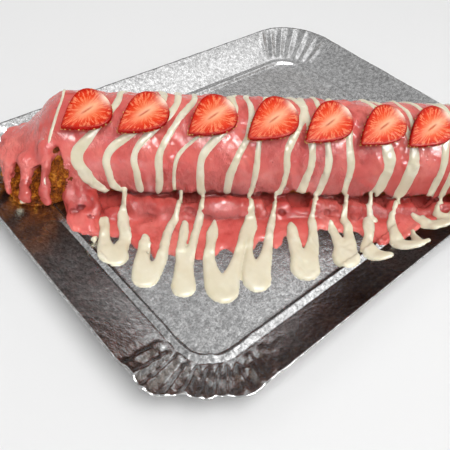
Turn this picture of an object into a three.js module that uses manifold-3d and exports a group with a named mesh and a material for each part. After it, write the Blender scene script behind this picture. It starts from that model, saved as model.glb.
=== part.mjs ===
// A glazed roll cake with seven strawberry halves, lying corner to corner on a silver board tray.
// Millimetres, +Z up. The tray's long side runs along X and its underside lies at Z = 0.
import * as THREE from 'three';
import { mergeVertices } from 'three/addons/utils/BufferGeometryUtils.js';
import Module from 'manifold-3d';

const wasm = await Module();
wasm.setup();

const TRAY = {
  halfLength: 190,
  halfWidth: 144,
  rimHeight: 19.7,
  cornerRadius: 48,
  footHalfLength: 154,
  footHalfWidth: 116,
  footRadius: 27,
  ledgeHeight: 3.6,
  ledgeHalfLength: 149,
  ledgeHalfWidth: 109.5,
  ledgeRadius: 22,
  floorInset: 2,
  floorHeight: 1.5,
  middleHeight: 10.2,     // halfway up the flange, which steepens toward the rim
  sheet: 1.4,
  folds: 7,               // pleats in each corner
  foldDepth: 1.5,
  crumpledSag: 3,         // how far the rim hangs down in the crumpled corner
};
// How far the crumpled corner's rim is pushed in, at even steps round it.
const DENTS = [-1, -0.5, -4, -9, -9.5, -8, -6.8, -8.6, -7.6, -1.5, 0];

const ROLL = {
  turn: -37,              // degrees from the tray's long side to the roll's length
  towardViewer: 6.7,      // the roll lies this far off the tray's middle
  halfLength: 190,
  endCap: 1.5,
  halfWidth: 32,
  top: 65.6,
  middle: 34,
  bottom: 1.2,
  endDrop: 32,            // how far the top comes down toward the ends
  dropFrom: 143,
  dropTo: 179,
  tipSlope: 0.15,
  tipFrom: 176,
  roundFrom: 158,
  roundRun: 38,
  flapReach: 13,          // the seam side bulges at the bare left end
  crackAngle: 72,         // degrees from the top to the crack above it
};

const GLAZE = {
  halfLength: 193,
  thickness: 2.9,
  endThickness: 3.4,
  lowerEdge: 118,         // degrees round from the top
  pool: 3.2,
  webHeight: 15.5,        // glaze against the roll up to the coat's lower edge
  gapHeight: 6,           // the same below a gap in the coat
  moundFront: 19,         // how far the heaped glaze comes out from the roll
  ridge: 1,
  swell: 0.5,
  endEdge: 72,            // where the coat ends over the bare ends on the near side, in degrees
  endEdgeBack: 76,        // the same on the far side
  edgeWave: 6,
  gap: 0.3,
};
// A lump in the coat near the left end.
const LUMP = { along: -159, degrees: -22, height: 2.4, halfLength: 5.5, halfTurn: 26 };

const BERRY = {
  thickness: 9.2,
  sunk: 1.4,
  gap: 0.35,
};

// Each white stripe: its place along the roll at each angle from the top, and its width.
const STRIPE_ANGLES = [-120, -70, -18, 20, 45, 76, 116];
const STRIPES = [
  [-150, -149, -145, -147, -151, -156, -155, 3.0],
  [-101, -98, -107, -112, -124, -136, -120, 7.6],
  [-82, -84, -75, -82, -99, -116, -107, 5.4],
  [-69, -65, -66, -72, -87, -97, -91, 5.2],
  [-49, -53, -54, -64, -73, -80, -80, 4.9],
  [-40, -40, -40, -41, -52, -68, -66, 2.4],
  [-19, -19, -29, -28, -39, -51, -47, 5.9],
  [-5, -8, -18, -15, -18, -27, -29, 5.0],
  [5, 7, -3, -8, -10, -11, -13, 3.9],
  [12, 12, 20, 21, 13, 11, 8, 5.2],
  [33, 29, 24, 25, 27, 29, 23, 5.2],
  [31, 35, 35, 36, 38, 41, 38, 5.0],
  [60, 55, 44, 54, 54, 58, 58, 5.4],
  [66, 70, 76, 82, 81, 87, 81, 7.6],
  [97, 96, 98, 103, 102, 104, 101, 7.6],
  [120, 124, 130, 130, 126, 127, 126, 5.4],
  [138, 137, 134, 134, 135, 136, 136, 4.6],
  [139, 144, 146, 151, 154, 158, 155, 5.0],
];

// Gaps under the coat's front edge where the crust shows: start and end along the roll.
const FRONT_GAPS = [
  [-119, -107], [-69, -65], [-60, -49], [-2, 6], [17, 35], [55, 63], [75, 84],
  [86, 96], [106, 111], [116, 130], [139, 147],
];
const BACK_GAPS = [[-122, -110], [-56, -44], [26, 34], [96, 108]];

// How far the pink pool runs out from the roll's middle, at even steps along the roll.
const POOL_START = -142;
const POOL_STEP = 15;
const FRONT_REACH = [
  46, 64, 67, 74, 86, 83, 86, 80, 79, 70, 72, 75, 58, 60, 62, 74, 71, 59, 54, 50, 40,
];
const BACK_REACH = [
  44, 54, 63, 60, 65, 60, 63, 59, 65, 61, 55, 61, 56, 60, 52, 55, 51, 49, 50, 45, 38,
];
// Height of the glaze heaped beside the roll, at the same steps.
const MOUND = [
  14, 15.4, 12, 15.8, 16.8, 13.2, 12, 18, 18, 15, 13.6, 9.4, 15, 12.4, 13.6, 11, 13.6, 12.4, 9.4, 10.4, 9,
];

// The coat's lower edge over the bare left end: place along the roll, degrees from the top.
const LEFT_EDGE_PLACES = [-182, -175.5, -170, -162, -155.5, -150, -146, -143.5, -140];
const LEFT_EDGE_DEGREES = [60, 57, 67, 73, 70, 60, 58, 74, 118];

// White loops where the drizzle turned round on the tray, each a round body fed by two arms.
// body: along, away, radius and half its length; arms: along, away and half width at top, and at
// the neck where there is one.
const FRONT_LOOPS = [
  { body: [-109, 85, 7.2, 3], arms: [[-117, 54, 3.2, -115, 74, 4.4], [-104, 51, 3.8, -102, 70, 4]] },
  { body: [-88, 102, 8.6, 0.3], arms: [[-88, 71, 3, -89, 84, 4.6], [-67, 52, 2.6, -75, 82, 3.4]] },
  { body: [-63, 110, 8, 0.3], arms: [[-60, 57, 2.6, -63, 84, 3.6], [-49, 50, 2.4, -56, 80, 3.4]] },
  { body: [-38.5, 113, 9, 1.5], arms: [[-40, 58, 3.4, -43, 80, 3.8], [-12, 52, 4.4, -24, 84, 3.6]] },
  { body: [-14, 105, 9.6, 0.3], arms: [[-13, 60, 4.2, -16, 82, 3], [3, 50, 2.4, -3, 78, 3.8]] },
  { body: [21, 95, 10.2, 0.3], arms: [[17, 56, 2.8, 17, 76, 4.6], [33, 51, 3, 30, 74, 4.8]] },
  { body: [52, 86, 9.6, 0.3], arms: [[47, 55, 2.4, 50, 70, 4.2], [59, 48, 3, 59, 68, 4.4]] },
  { body: [75, 84, 4.8, 5], arms: [[76, 51, 3.8, 72, 70, 3.6]] },
  { body: [101, 80, 4, 6], arms: [[94, 51, 3, 92.5, 70, 4.4], [106, 65, 2, 105.5, 73, 3]] },
  { body: [131, 58, 4.7, 11], arms: [[115, 49, 2.6, 118, 55, 4], [130, 48, 2.2, 136, 55, 4]] },
  { body: [152.5, 46, 6, 0.3], arms: [[147, 37, 2.4, 149.5, 42, 4], [158, 37, 2.4, 155.5, 42, 4]] },
];
const BACK_LOOPS = [
  { body: [-112, 66, 9.5, 1.5], arms: [[-121, 42, 3], [-103, 42, 3]] },
  { body: [-72, 71, 10.5, 1.5], arms: [[-81, 42, 3], [-63, 42, 3]] },
  { body: [-32, 69, 9, 1.5], arms: [[-40, 42, 3], [-24, 42, 3]] },
  { body: [8, 66, 10.5, 1.5], arms: [[-1, 42, 3], [17, 42, 3]] },
  { body: [46, 69, 9.5, 1.5], arms: [[38, 42, 3], [55, 42, 3]] },
  { body: [84, 62, 9, 1.5], arms: [[76, 42, 3], [93, 42, 3]] },
  { body: [122, 57, 8.5, 1.5], arms: [[114, 40, 3], [131, 40, 3]] },
];
// Thin white strings from the coat down over the heaped glaze: along at the coat and at their ends.
const FRONT_STRINGS = [
  [-103, -104], [-63, -67], [-47, -49], [-13, -12], [7, 4],
  [37, 33], [61, 59], [80, 83], [102, 95], [136, 130],
];

// Drips over the bare crust: place along the roll, half width, start and tip in degrees from the top.
// Positive angles are on the near side.
const DRIPS = [
  [-184, 4.6, 50, 100],
  [-169.5, 5.4, 56, 103],
  [-155.5, 3.8, 52, 114],
  [156, 4.4, 60, 126],
  [170, 5, 54, 112],
  [-164, 5, -58, -120],
  [164, 5, -58, -124],
];

// Each strawberry half: place along the roll, tilt toward the viewer, length, width.
const BERRIES = [
  [-128.5, 27, 36.5, 29.6],
  [-91.3, 28, 39, 28],
  [-45, 28.5, 38.2, 29.4],
  [-3.4, 30, 41.5, 30.6],
  [36.4, 31.5, 39.8, 29],
  [75.6, 33, 39.4, 28.6],
  [111, 33, 39.8, 28.8],
];
const BERRY_TURN = 142;        // degrees from the roll's length to the tip's direction
const BERRY_FACE = ROLL.top - ROLL.middle + GLAZE.thickness + BERRY.thickness - BERRY.sunk;

const COLOURS = {
  silver: 0xb4b4b2,
  crust: 0xa8692a,
  glaze: 0xe2767a,
  berry: 0xd8401f,
};

const RAD = Math.PI / 180;

function clamp(value, low, high) {
  return Math.min(high, Math.max(low, value));
}

function mix(a, b, t) {
  return a + (b - a) * t;
}

function ease(low, high, value) {
  const t = clamp((value - low) / (high - low), 0, 1);
  return t * t * (3 - 2 * t);
}

// A smooth curve through evenly or unevenly spaced values.
function curveAt(places, values, x) {
  const last = places.length - 1;
  if (x <= places[0]) {
    return values[0];
  }
  if (x >= places[last]) {
    return values[last];
  }
  let i = 0;
  while (x > places[i + 1]) {
    i += 1;
  }
  const span = places[i + 1] - places[i];
  const slope = (k) => {
    const before = Math.max(0, k - 1);
    const after = Math.min(last, k + 1);
    return (values[after] - values[before]) / (places[after] - places[before]);
  };
  const t = (x - places[i]) / span;
  const a = values[i];
  const b = values[i + 1];
  const ma = slope(i) * span;
  const mb = slope(i + 1) * span;
  const t2 = t * t;
  const t3 = t2 * t;
  return (2 * t3 - 3 * t2 + 1) * a + (t3 - 2 * t2 + t) * ma + (3 * t2 - 2 * t3) * b + (t3 - t2) * mb;
}

// ---- closed meshes from rings of points ----

function ringsGeometry(rings) {
  const count = rings[0].length;
  const positions = [];
  const index = [];
  for (const ring of rings) {
    for (const p of ring) {
      positions.push(p[0], p[1], p[2]);
    }
  }
  for (let k = 0; k + 1 < rings.length; k += 1) {
    for (let i = 0; i < count; i += 1) {
      const j = (i + 1) % count;
      const a = k * count + i;
      const b = k * count + j;
      const c = a + count;
      const d = b + count;
      index.push(a, b, d, a, d, c);
    }
  }
  const cap = (k, flip) => {
    const ring = rings[k];
    const middle = [0, 1, 2].map((axis) => ring.reduce((sum, p) => sum + p[axis], 0) / count);
    positions.push(...middle);
    const m = positions.length / 3 - 1;
    for (let i = 0; i < count; i += 1) {
      const a = k * count + i;
      const b = k * count + ((i + 1) % count);
      if (flip) {
        index.push(m, b, a);
      } else {
        index.push(m, a, b);
      }
    }
  };
  cap(0, true);
  cap(rings.length - 1, false);
  const geometry = new THREE.BufferGeometry();
  geometry.setAttribute('position', new THREE.Float32BufferAttribute(positions, 3));
  geometry.setIndex(index);
  return geometry;
}

// A flat outline raised through layers, each drawn in by an inset and given its own heights.
function prismGeometry(outline, layers, side) {
  const count = outline.length;
  const positions = [];
  const index = [];
  const inset = (i, amount) => {
    const before = outline[(i + count - 1) % count];
    const here = outline[i];
    const after = outline[(i + 1) % count];
    const du = after[0] - before[0];
    const dw = after[1] - before[1];
    const length = Math.hypot(du, dw);
    return [here[0] - (amount * dw) / length, here[1] + (amount * du) / length];
  };
  const winding = Math.sign(THREE.ShapeUtils.area(outline.map(([u, w]) => new THREE.Vector2(u, w))));
  layers.forEach(([amount, heightAt]) => {
    for (let i = 0; i < count; i += 1) {
      const [u, w] = inset(i, amount * winding);
      positions.push(u, -side * w, heightAt(u, side * w));
    }
  });
  for (let k = 0; k + 1 < layers.length; k += 1) {
    for (let i = 0; i < count; i += 1) {
      const a = k * count + i;
      const b = k * count + ((i + 1) % count);
      index.push(a, b, b + count, a, b + count, a + count);
    }
  }
  const flat = outline.map(([u, w]) => new THREE.Vector2(u, w));
  const top = (layers.length - 1) * count;
  THREE.ShapeUtils.triangulateShape(flat, []).forEach(([a, b, c]) => {
    index.push(a + top, b + top, c + top);
    index.push(a, c, b);
  });
  if (winding < 0) {
    for (let i = 0; i < (layers.length - 1) * count * 6; i += 3) {
      [index[i + 1], index[i + 2]] = [index[i + 2], index[i + 1]];
    }
  }
  const geometry = new THREE.BufferGeometry();
  geometry.setAttribute('position', new THREE.Float32BufferAttribute(positions, 3));
  geometry.setIndex(index);
  return geometry;
}

function signedVolume(geometry) {
  const p = geometry.getAttribute('position');
  const index = geometry.getIndex();
  const a = new THREE.Vector3();
  const b = new THREE.Vector3();
  const c = new THREE.Vector3();
  let sum = 0;
  for (let i = 0; i < index.count; i += 3) {
    a.fromBufferAttribute(p, index.getX(i));
    b.fromBufferAttribute(p, index.getX(i + 1));
    c.fromBufferAttribute(p, index.getX(i + 2));
    sum += a.dot(b.cross(c));
  }
  return sum / 6;
}

function turnOutward(geometry) {
  if (signedVolume(geometry) < 0) {
    const index = geometry.getIndex();
    for (let i = 0; i < index.count; i += 3) {
      const b = index.getX(i + 1);
      index.setX(i + 1, index.getX(i + 2));
      index.setX(i + 2, b);
    }
  }
  return geometry;
}

function weld(geometry) {
  geometry.deleteAttribute('normal');
  geometry.deleteAttribute('uv');
  return turnOutward(mergeVertices(geometry, 1e-4));
}

function solidOf(geometry) {
  const welded = weld(geometry);
  const mesh = new wasm.Mesh({
    numProp: 3,
    vertProperties: new Float32Array(welded.getAttribute('position').array),
    triVerts: new Uint32Array(welded.getIndex().array),
  });
  return new wasm.Manifold(mesh);
}

function geometryOf(solid) {
  const mesh = solid.getMesh();
  const geometry = new THREE.BufferGeometry();
  geometry.setAttribute('position', new THREE.BufferAttribute(new Float32Array(mesh.vertProperties), 3));
  geometry.setIndex(new THREE.BufferAttribute(new Uint32Array(mesh.triVerts), 1));
  return geometry;
}

// ---- the tray ----

const CORNER_STEPS = TRAY.folds * 4;
const CLEAR_STEPS = 8;
const SIDE_STEPS = 3;

// A wave that runs straight up and straight down between -1 and 1.
function zigzag(turns) {
  const t = turns - Math.floor(turns);
  return Math.abs(4 * t - 2) - 1;
}

// One closed outline of the tray: straight sides and four pleated corners.
// fold is the share of the pleats' depth here and dent the share of the crumpled corner's dents.
// A clearance outline has plain corners that lie above the pleats.
function trayOutline({ halfLength, halfWidth, radius, height, fold, dent }, clearance) {
  const steps = clearance ? CLEAR_STEPS : CORNER_STEPS;
  const points = [];
  const corners = [
    [1, 1, 0],
    [-1, 1, 90],
    [-1, -1, 180],
    [1, -1, 270],
  ];
  const dentPlaces = DENTS.map((_, i) => i / (DENTS.length - 1));
  corners.forEach(([sx, sy, from], corner) => {
    const crumpled = corner === 2 ? 1 : 0;
    const cx = sx * (halfLength - radius);
    const cy = sy * (halfWidth - radius);
    for (let i = 0; i <= steps; i += 1) {
      const t = i / steps;
      const angle = (from + 90 * t) * RAD;
      const fade = ease(0, 0.12, t) * ease(1, 0.88, t);
      const pushed = crumpled * dent * curveAt(dentPlaces, DENTS, t);
      let r = radius + pushed - fold * fade * TRAY.foldDepth * (0.6 + 0.4 * zigzag(TRAY.folds * t));
      let lift = fold * fade * TRAY.foldDepth * 0.5 * zigzag(TRAY.folds * t + 0.25);
      lift -= crumpled * dent * TRAY.crumpledSag * ease(0, 0.25, t) * ease(1, 0.9, t);
      if (clearance) {
        r = radius;
        lift = fade * (0.3 + fold * TRAY.foldDepth);
      }
      points.push([cx + r * Math.cos(angle), cy + r * Math.sin(angle), height + lift]);
    }
    const next = corners[(corner + 1) % 4];
    const start = points[points.length - 1];
    const endAngle = next[2] * RAD;
    const end = [
      next[0] * (halfLength - radius) + radius * Math.cos(endAngle),
      next[1] * (halfWidth - radius) + radius * Math.sin(endAngle),
    ];
    for (let i = 1; i < SIDE_STEPS; i += 1) {
      const t = i / SIDE_STEPS;
      points.push([mix(start[0], end[0], t), mix(start[1], end[1], t), height]);
    }
  });
  return points;
}

// The outlines of the tray's upper face from the rim inward, raised by a clearance.
function trayRows(rise, clearance = false) {
  const rim = { halfLength: TRAY.halfLength, halfWidth: TRAY.halfWidth, radius: TRAY.cornerRadius };
  const foot = { halfLength: TRAY.footHalfLength, halfWidth: TRAY.footHalfWidth, radius: TRAY.footRadius };
  const ledge = {
    halfLength: TRAY.ledgeHalfLength,
    halfWidth: TRAY.ledgeHalfWidth,
    radius: TRAY.ledgeRadius,
  };
  const middle = {
    halfLength: (rim.halfLength + foot.halfLength) / 2,
    halfWidth: (rim.halfWidth + foot.halfWidth) / 2,
    radius: (rim.radius + foot.radius) / 2,
  };
  const floor = {
    halfLength: ledge.halfLength - TRAY.floorInset,
    halfWidth: ledge.halfWidth - TRAY.floorInset,
    radius: ledge.radius - TRAY.floorInset,
  };
  return [
    { ...rim, height: TRAY.rimHeight + rise, fold: 0, dent: 1 },
    { ...middle, height: TRAY.middleHeight + rise, fold: 1, dent: 0.55 },
    { ...foot, height: TRAY.ledgeHeight + rise, fold: 0.2, dent: 0.06 },
    { ...ledge, height: TRAY.ledgeHeight + rise, fold: 0, dent: 0 },
    { ...floor, height: TRAY.floorHeight + rise, fold: 0, dent: 0 },
  ].map((row) => trayOutline(row, clearance));
}

function trayGeometry() {
  const upper = trayRows(0);
  const lower = trayRows(-TRAY.sheet);
  const floor = lower[4].map(([x, y]) => [x, y, 0]);
  const rings = [floor, lower[2], lower[1], lower[0], ...upper];
  return ringsGeometry(rings);
}

// Everything at or below the tray's upper face: what lies on the tray is cut back to this.
function trayKeepOut() {
  const upper = trayRows(GLAZE.gap + 0.05, true);
  const deep = upper[0].map(([x, y]) => [x * 1.2, y * 1.2, -20]);
  const wide = upper[0].map(([x, y, z]) => [x * 1.2, y * 1.2, z]);
  return solidOf(ringsGeometry([deep, wide, ...upper]));
}

// Height of the tray's upper face, without the pleats.
function trayTop(x, y) {
  const ax = Math.abs(x);
  const ay = Math.abs(y);
  if (ax < TRAY.ledgeHalfLength - 1 && ay < TRAY.ledgeHalfWidth - 1) {
    return TRAY.floorHeight;
  }
  const kx = (ax - TRAY.footHalfLength) / (TRAY.halfLength - TRAY.footHalfLength);
  const ky = (ay - TRAY.footHalfWidth) / (TRAY.halfWidth - TRAY.footHalfWidth);
  const k = clamp(Math.max(kx, ky), 0, 1);
  const upper = mix(TRAY.middleHeight, TRAY.rimHeight, 2 * k - 1);
  return k > 0.5 ? upper : mix(TRAY.ledgeHeight, TRAY.middleHeight, 2 * k);
}

// ---- the roll's own frame: u along it, w toward the viewer, z up ----

const TURN = ROLL.turn * RAD;
const ALONG = [Math.cos(TURN), Math.sin(TURN)];
const AWAY = [-Math.sin(TURN), Math.cos(TURN)];

function trayTopUnder(u, w) {
  const v = -w - ROLL.towardViewer;
  return trayTop(u * ALONG[0] + v * AWAY[0], u * ALONG[1] + v * AWAY[1]);
}

function point(u, w, z) {
  return [u, -w, z];
}

function topAt(u) {
  const far = Math.abs(u);
  const tip = ROLL.tipSlope * Math.max(0, far - ROLL.tipFrom);
  return ROLL.top - ROLL.endDrop * ease(ROLL.dropFrom, ROLL.dropTo, far) - tip;
}

function halfWidthAt(u) {
  const k = clamp((Math.abs(u) - ROLL.roundFrom) / ROLL.roundRun, 0, 1);
  return ROLL.halfWidth * Math.sqrt(1 - k ** 3);
}

// A point of the roll's surface at an angle from the top, moved out by a thickness.
// The upper part is round, the lower part squarer, as a soft roll settles.
function rollPoint(u, degrees, thickness) {
  const a = degrees * RAD;
  const side = Math.sin(a);
  const up = Math.cos(a);
  const top = topAt(u);
  const middle = Math.min(ROLL.middle, top * 0.52);
  const half = halfWidthAt(u) + thickness;
  let w = half * side;
  let z = middle + (top - middle + thickness) * up;
  if (up < 0) {
    w = half * Math.sign(side) * Math.abs(side) ** 0.62;
    z = middle - (middle - ROLL.bottom) * Math.abs(up) ** 0.62;
  }
  return [w, z];
}

// The seam flap at the bare left end and the crack above it.
function flapAt(u, degrees) {
  const along = ease(-128, -158, u) * ease(-188, -176, u);
  const lower = ease(74, 104, degrees) * ease(180, 158, degrees);
  return ROLL.flapReach * along * lower;
}

function cragAt(u, degrees) {
  const waves = Math.sin(u * 0.9 + degrees * 0.21) * Math.sin(degrees * 0.17 - u * 0.43);
  return 0.7 * waves;
}

// Close together over the shaped ends, far apart over the even middle.
function rollStations() {
  const stations = [];
  const even = 130;
  const ends = (ROLL.halfLength - even) / 8;
  for (let i = 0; i < 8; i += 1) {
    stations.push(-ROLL.halfLength + i * ends);
  }
  for (let i = 0; i < 5; i += 1) {
    stations.push(-even + i * even * 0.4);
  }
  for (let i = 0; i <= 8; i += 1) {
    stations.push(even + i * ends);
  }
  return stations;
}

function rollRing(u, thickness, shrink) {
  const ring = [];
  const step = 22.5;
  for (let degrees = -180; degrees < 180; degrees += step) {
    const bare = Math.abs(u) > 136 || Math.abs(degrees) > 110 ? 1 : 0;
    const [w, z] = rollPoint(u, degrees, thickness);
    const bulge = flapAt(u, degrees) + bare * cragAt(u, degrees);
    const crack = -2 * ease(-136, -146, u) * Math.exp(-(((degrees - ROLL.crackAngle) / 8) ** 2));
    const out = Math.sign(w) * bulge + crack * Math.sin(degrees * RAD);
    ring.push(point(u, (w + out) * shrink, mix(12, z, shrink)));
  }
  return ring;
}

function rollGeometry(thickness) {
  const rings = rollStations().map((u) => rollRing(u, thickness, 1));
  const cap = ROLL.endCap + thickness;
  const end = ROLL.halfLength;
  rings.unshift(rollRing(-end, thickness, 0.72).map(([x, y, z]) => [x - cap, y, z]));
  rings.push(rollRing(end, thickness, 0.72).map(([x, y, z]) => [x + cap, y, z]));
  return ringsGeometry(rings);
}

// ---- the pink coat with its white stripes ----

function stripeMiddle(stripe, degrees) {
  return curveAt(STRIPE_ANGLES, stripe.slice(0, -1), degrees);
}

const STRIPES_REACH = 163;      // stripes lie within this distance of the roll's middle
const EDGE_DROP = [-144.5, -141];   // the coat's lower edge drops steeply between these places

// Columns of the coat's grid: three to a stripe, so that each stripe is a clean ridge,
// and plain ones between stripes that lie far apart and over both ends.
function coatColumns() {
  const columns = [];
  const plain = (at) => columns.push({ at, ridge: 0 });
  for (let u = -GLAZE.halfLength; u < -STRIPES_REACH; u += 4.9) {
    plain(() => u);
  }
  plain((degrees) => (stripeMiddle(STRIPES[0], degrees) - 2 - STRIPES_REACH) / 2);
  STRIPES.forEach((stripe, i) => {
    const half = stripe.at(-1) / 2 + 0.7;
    const middle = (degrees) => stripeMiddle(stripe, degrees);
    plain((degrees) => middle(degrees) - half);
    columns.push({ at: middle, ridge: 1 });
    plain((degrees) => middle(degrees) + half);
    if (i === 0) {
      plain((degrees) => (middle(degrees) + half + EDGE_DROP[0]) / 2);
      EDGE_DROP.forEach((u) => plain(() => u));
    }
    if (i + 1 === STRIPES.length) {
      return;
    }
    const next = STRIPES[i + 1];
    const room = next[2] - stripe[2] - half - next.at(-1) / 2;
    const extra = Math.floor(room / 18);
    for (let k = 1; k <= extra; k += 1) {
      const share = k / (extra + 1);
      const right = (degrees) => middle(degrees) + half;
      const left = (degrees) => stripeMiddle(next, degrees) - next.at(-1) / 2;
      plain((degrees) => mix(right(degrees), left(degrees), share));
    }
  });
  plain((degrees) => (stripeMiddle(STRIPES.at(-1), degrees) + 3 + STRIPES_REACH) / 2);
  for (let u = STRIPES_REACH; u < GLAZE.halfLength; u += 5.5) {
    plain(() => u);
  }
  plain(() => GLAZE.halfLength);
  return columns;
}

// Where the coat ends on the near side: high over the bare crust at both ends, low elsewhere.
function frontEdge(u) {
  const left = Math.min(GLAZE.lowerEdge, curveAt(LEFT_EDGE_PLACES, LEFT_EDGE_DEGREES, u));
  const right = ease(146, 158, u);
  return mix(left, GLAZE.endEdge + GLAZE.edgeWave * Math.sin(u * 0.5), right);
}

function backEdge(u) {
  const left = 1 - ease(-152, -141, u);
  const right = ease(146, 160, u);
  return mix(GLAZE.lowerEdge, GLAZE.endEdgeBack + GLAZE.edgeWave * Math.sin(u * 0.4), Math.max(left, right));
}

function coatSolid() {
  const rows = 10;
  const columns = coatColumns();
  const grid = columns.map(() => []);
  for (let k = 0; k < rows; k += 1) {
    const s = k / (rows - 1);
    const guess = mix(-GLAZE.lowerEdge, GLAZE.lowerEdge, s);
    let before = -1000;
    columns.forEach((column, c) => {
      const u = Math.max(column.at(guess), before + 0.7);
      before = u;
      grid[c].push({ u, s, ridge: column.ridge });
    });
  }
  const rings = grid.map((line) => line.map(({ u, s, ridge }) => {
    const degrees = mix(-backEdge(u), frontEdge(u), s);
    const edge = Math.min(s, 1 - s);
    const wave = GLAZE.swell * Math.sin(u * 0.13) * Math.sin(degrees * 0.05 + u * 0.03);
    const along = (u - LUMP.along) / LUMP.halfLength;
    const round = (degrees - LUMP.degrees) / LUMP.halfTurn;
    const swell = wave + LUMP.height * Math.exp(-along * along - round * round);
    const thickness = GLAZE.thickness + swell + GLAZE.ridge * ridge * (edge > 0.01 ? 1 : 0.5);
    const slope = topAt(Math.abs(u)) - topAt(Math.abs(u) + 1);
    const [w, z] = rollPoint(u, degrees, thickness * Math.sqrt(1 + slope * slope));
    return point(u, w, z);
  }));
  const closed = rings.map((ring) => {
    const first = ring[0];
    const last = ring[ring.length - 1];
    const low = [last[0] * 0.5 + first[0] * 0.5, (first[1] + last[1]) / 2, (first[2] + last[2]) / 2];
    return [...ring, low];
  });
  const endRing = (ring, shift) => ring.map(([x, y, z]) => [x + shift, y * 0.72, mix(14, z, 0.72)]);
  closed.unshift(endRing(closed[0], -GLAZE.endThickness * 0.6));
  closed.push(endRing(closed[closed.length - 1], GLAZE.endThickness * 0.6));
  return solidOf(ringsGeometry(closed));
}

// ---- the pool on the tray ----

const NARROW_GAP = 9;
const GAP_SIDE = 0.8;

function poolStations(gaps, reach) {
  const end = POOL_START + POOL_STEP * (reach.length - 1);
  const stations = [end];
  for (const [from, to] of gaps) {
    if (to - from > NARROW_GAP) {
      stations.push(from - GAP_SIDE, from + GAP_SIDE, to - GAP_SIDE, to + GAP_SIDE);
    } else {
      stations.push(from, (from + to) / 2, to);
    }
  }
  const edges = [...stations];
  for (let u = POOL_START; u < end; u += POOL_STEP) {
    if (edges.every((edge) => Math.abs(edge - u) > 5)) {
      stations.push(u);
    }
  }
  stations.sort((a, b) => a - b);
  return stations.filter((u, i) => i === 0 || u - stations[i - 1] > 1.4);
}

// The profile of the glaze beside the roll at one place: out from its middle, up from the tray.
function poolProfile(u, gaps, reach, side) {
  const places = reach.map((_, i) => POOL_START + POOL_STEP * i);
  const edge = curveAt(places, reach, u) + 1.4 * Math.sin(u * 0.33 + side);
  const heap = curveAt(places, MOUND, u);
  const open = gaps.some(([from, to]) => u > from && u < to);
  const wall = ROLL.halfWidth + 2.2;
  const shift = Math.sin(u * 0.21);
  return [
    [ROLL.halfWidth - 6, open ? GLAZE.gapHeight : GLAZE.webHeight],
    [wall, open ? GLAZE.gapHeight : GLAZE.webHeight],
    [wall + 7 + shift, open ? Math.min(heap, GLAZE.gapHeight) : heap - 1.5],
    [wall + 13 + shift, open ? Math.min(heap, GLAZE.gapHeight) : heap - 3.5],
    [wall + GLAZE.moundFront, GLAZE.pool],
    [edge - 2, GLAZE.pool],
    [edge, 0.2],
  ].map(([w, h]) => [Math.min(w, edge), h]);
}

function poolSolid(gaps, reach, side) {
  const inner = ROLL.halfWidth - 6;
  const rings = poolStations(gaps, reach).map((u) => {
    const top = poolProfile(u, gaps, reach, side);
    const ring = top.map(([w, h]) => point(u, side * w, trayTopUnder(u, side * w) + h));
    const edge = top[top.length - 1][0];
    ring.push(point(u, side * edge, -3), point(u, side * inner, -3));
    return ring;
  });
  return solidOf(ringsGeometry(rings));
}

// A flat outline round a chain of places with half widths, rounded at its far end.
function chainOutline(chain) {
  const last = chain.length - 1;
  const left = [];
  const right = [];
  chain.forEach(([u, w, half], i) => {
    const before = chain[Math.max(0, i - 1)];
    const after = chain[Math.min(last, i + 1)];
    const along = Math.atan2(after[1] - before[1], after[0] - before[0]);
    left.push([u - half * Math.sin(along), w + half * Math.cos(along)]);
    right.unshift([u + half * Math.sin(along), w - half * Math.cos(along)]);
    if (i === last) {
      for (const turn of [45, 0, -45]) {
        const a = along + turn * RAD;
        left.push([u + half * Math.cos(a), w + half * Math.sin(a)]);
      }
    }
  });
  const [u, w, half] = chain[0];
  const back = Math.atan2(chain[0][1] - chain[1][1], chain[0][0] - chain[1][0]);
  right.push([u + half * Math.cos(back), w + half * Math.sin(back)]);
  return [...left, ...right];
}

// A loop of white drizzle lying flat: its arms and its body, joined and raised.
function loopSolid({ body, arms }, side) {
  const [bodyAlong, bodyAway, radius, spread] = body;
  const middle = [[bodyAlong - spread, bodyAway, radius], [bodyAlong + spread, bodyAway, radius]];
  const chains = arms.map(([u, w, half, ...neck], i) => [
    [u, w, half],
    ...(neck.length ? [neck] : []),
    [middle[i][0], bodyAway, radius * 0.9],
  ]);
  const flat = [middle, ...chains]
    .map((chain) => new wasm.CrossSection([chainOutline(chain)], 'NonZero'))
    .reduce((joined, piece) => joined.add(piece));
  const outline = flat.toPolygons().sort((a, b) => b.length - a.length)[0];
  const layers = [
    [0, () => -2.5],
    [0, (u, w) => trayTopUnder(u, w) + 2.2],
    [0.7, (u, w) => trayTopUnder(u, w) + 4.4],
  ];
  return solidOf(prismGeometry(outline, layers, side));
}

// Follows the heaped glaze from the coat's lower edge down to the pool.
function stringSolid(from, to) {
  const stops = [0, 0.25, 0.6, 1];
  const wall = ROLL.halfWidth + 1.8;
  const rings = stops.map((stop) => {
    const u = mix(from, to, stop);
    const w = wall + stop * (GLAZE.moundFront + 1);
    const profile = poolProfile(u, [], FRONT_REACH, 1);
    const height = curveAt(profile.map((p) => p[0]), profile.map((p) => p[1]), w);
    const z = trayTopUnder(u, w) + height + 0.4;
    const half = 1.5 + stop;
    return [
      point(u - half, w, z - 0.8),
      point(u, w + 0.6, z + 1.3),
      point(u + half, w, z - 0.8),
      point(u, w - 1.2, z - 3),
    ];
  });
  return solidOf(ringsGeometry(rings));
}

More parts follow.
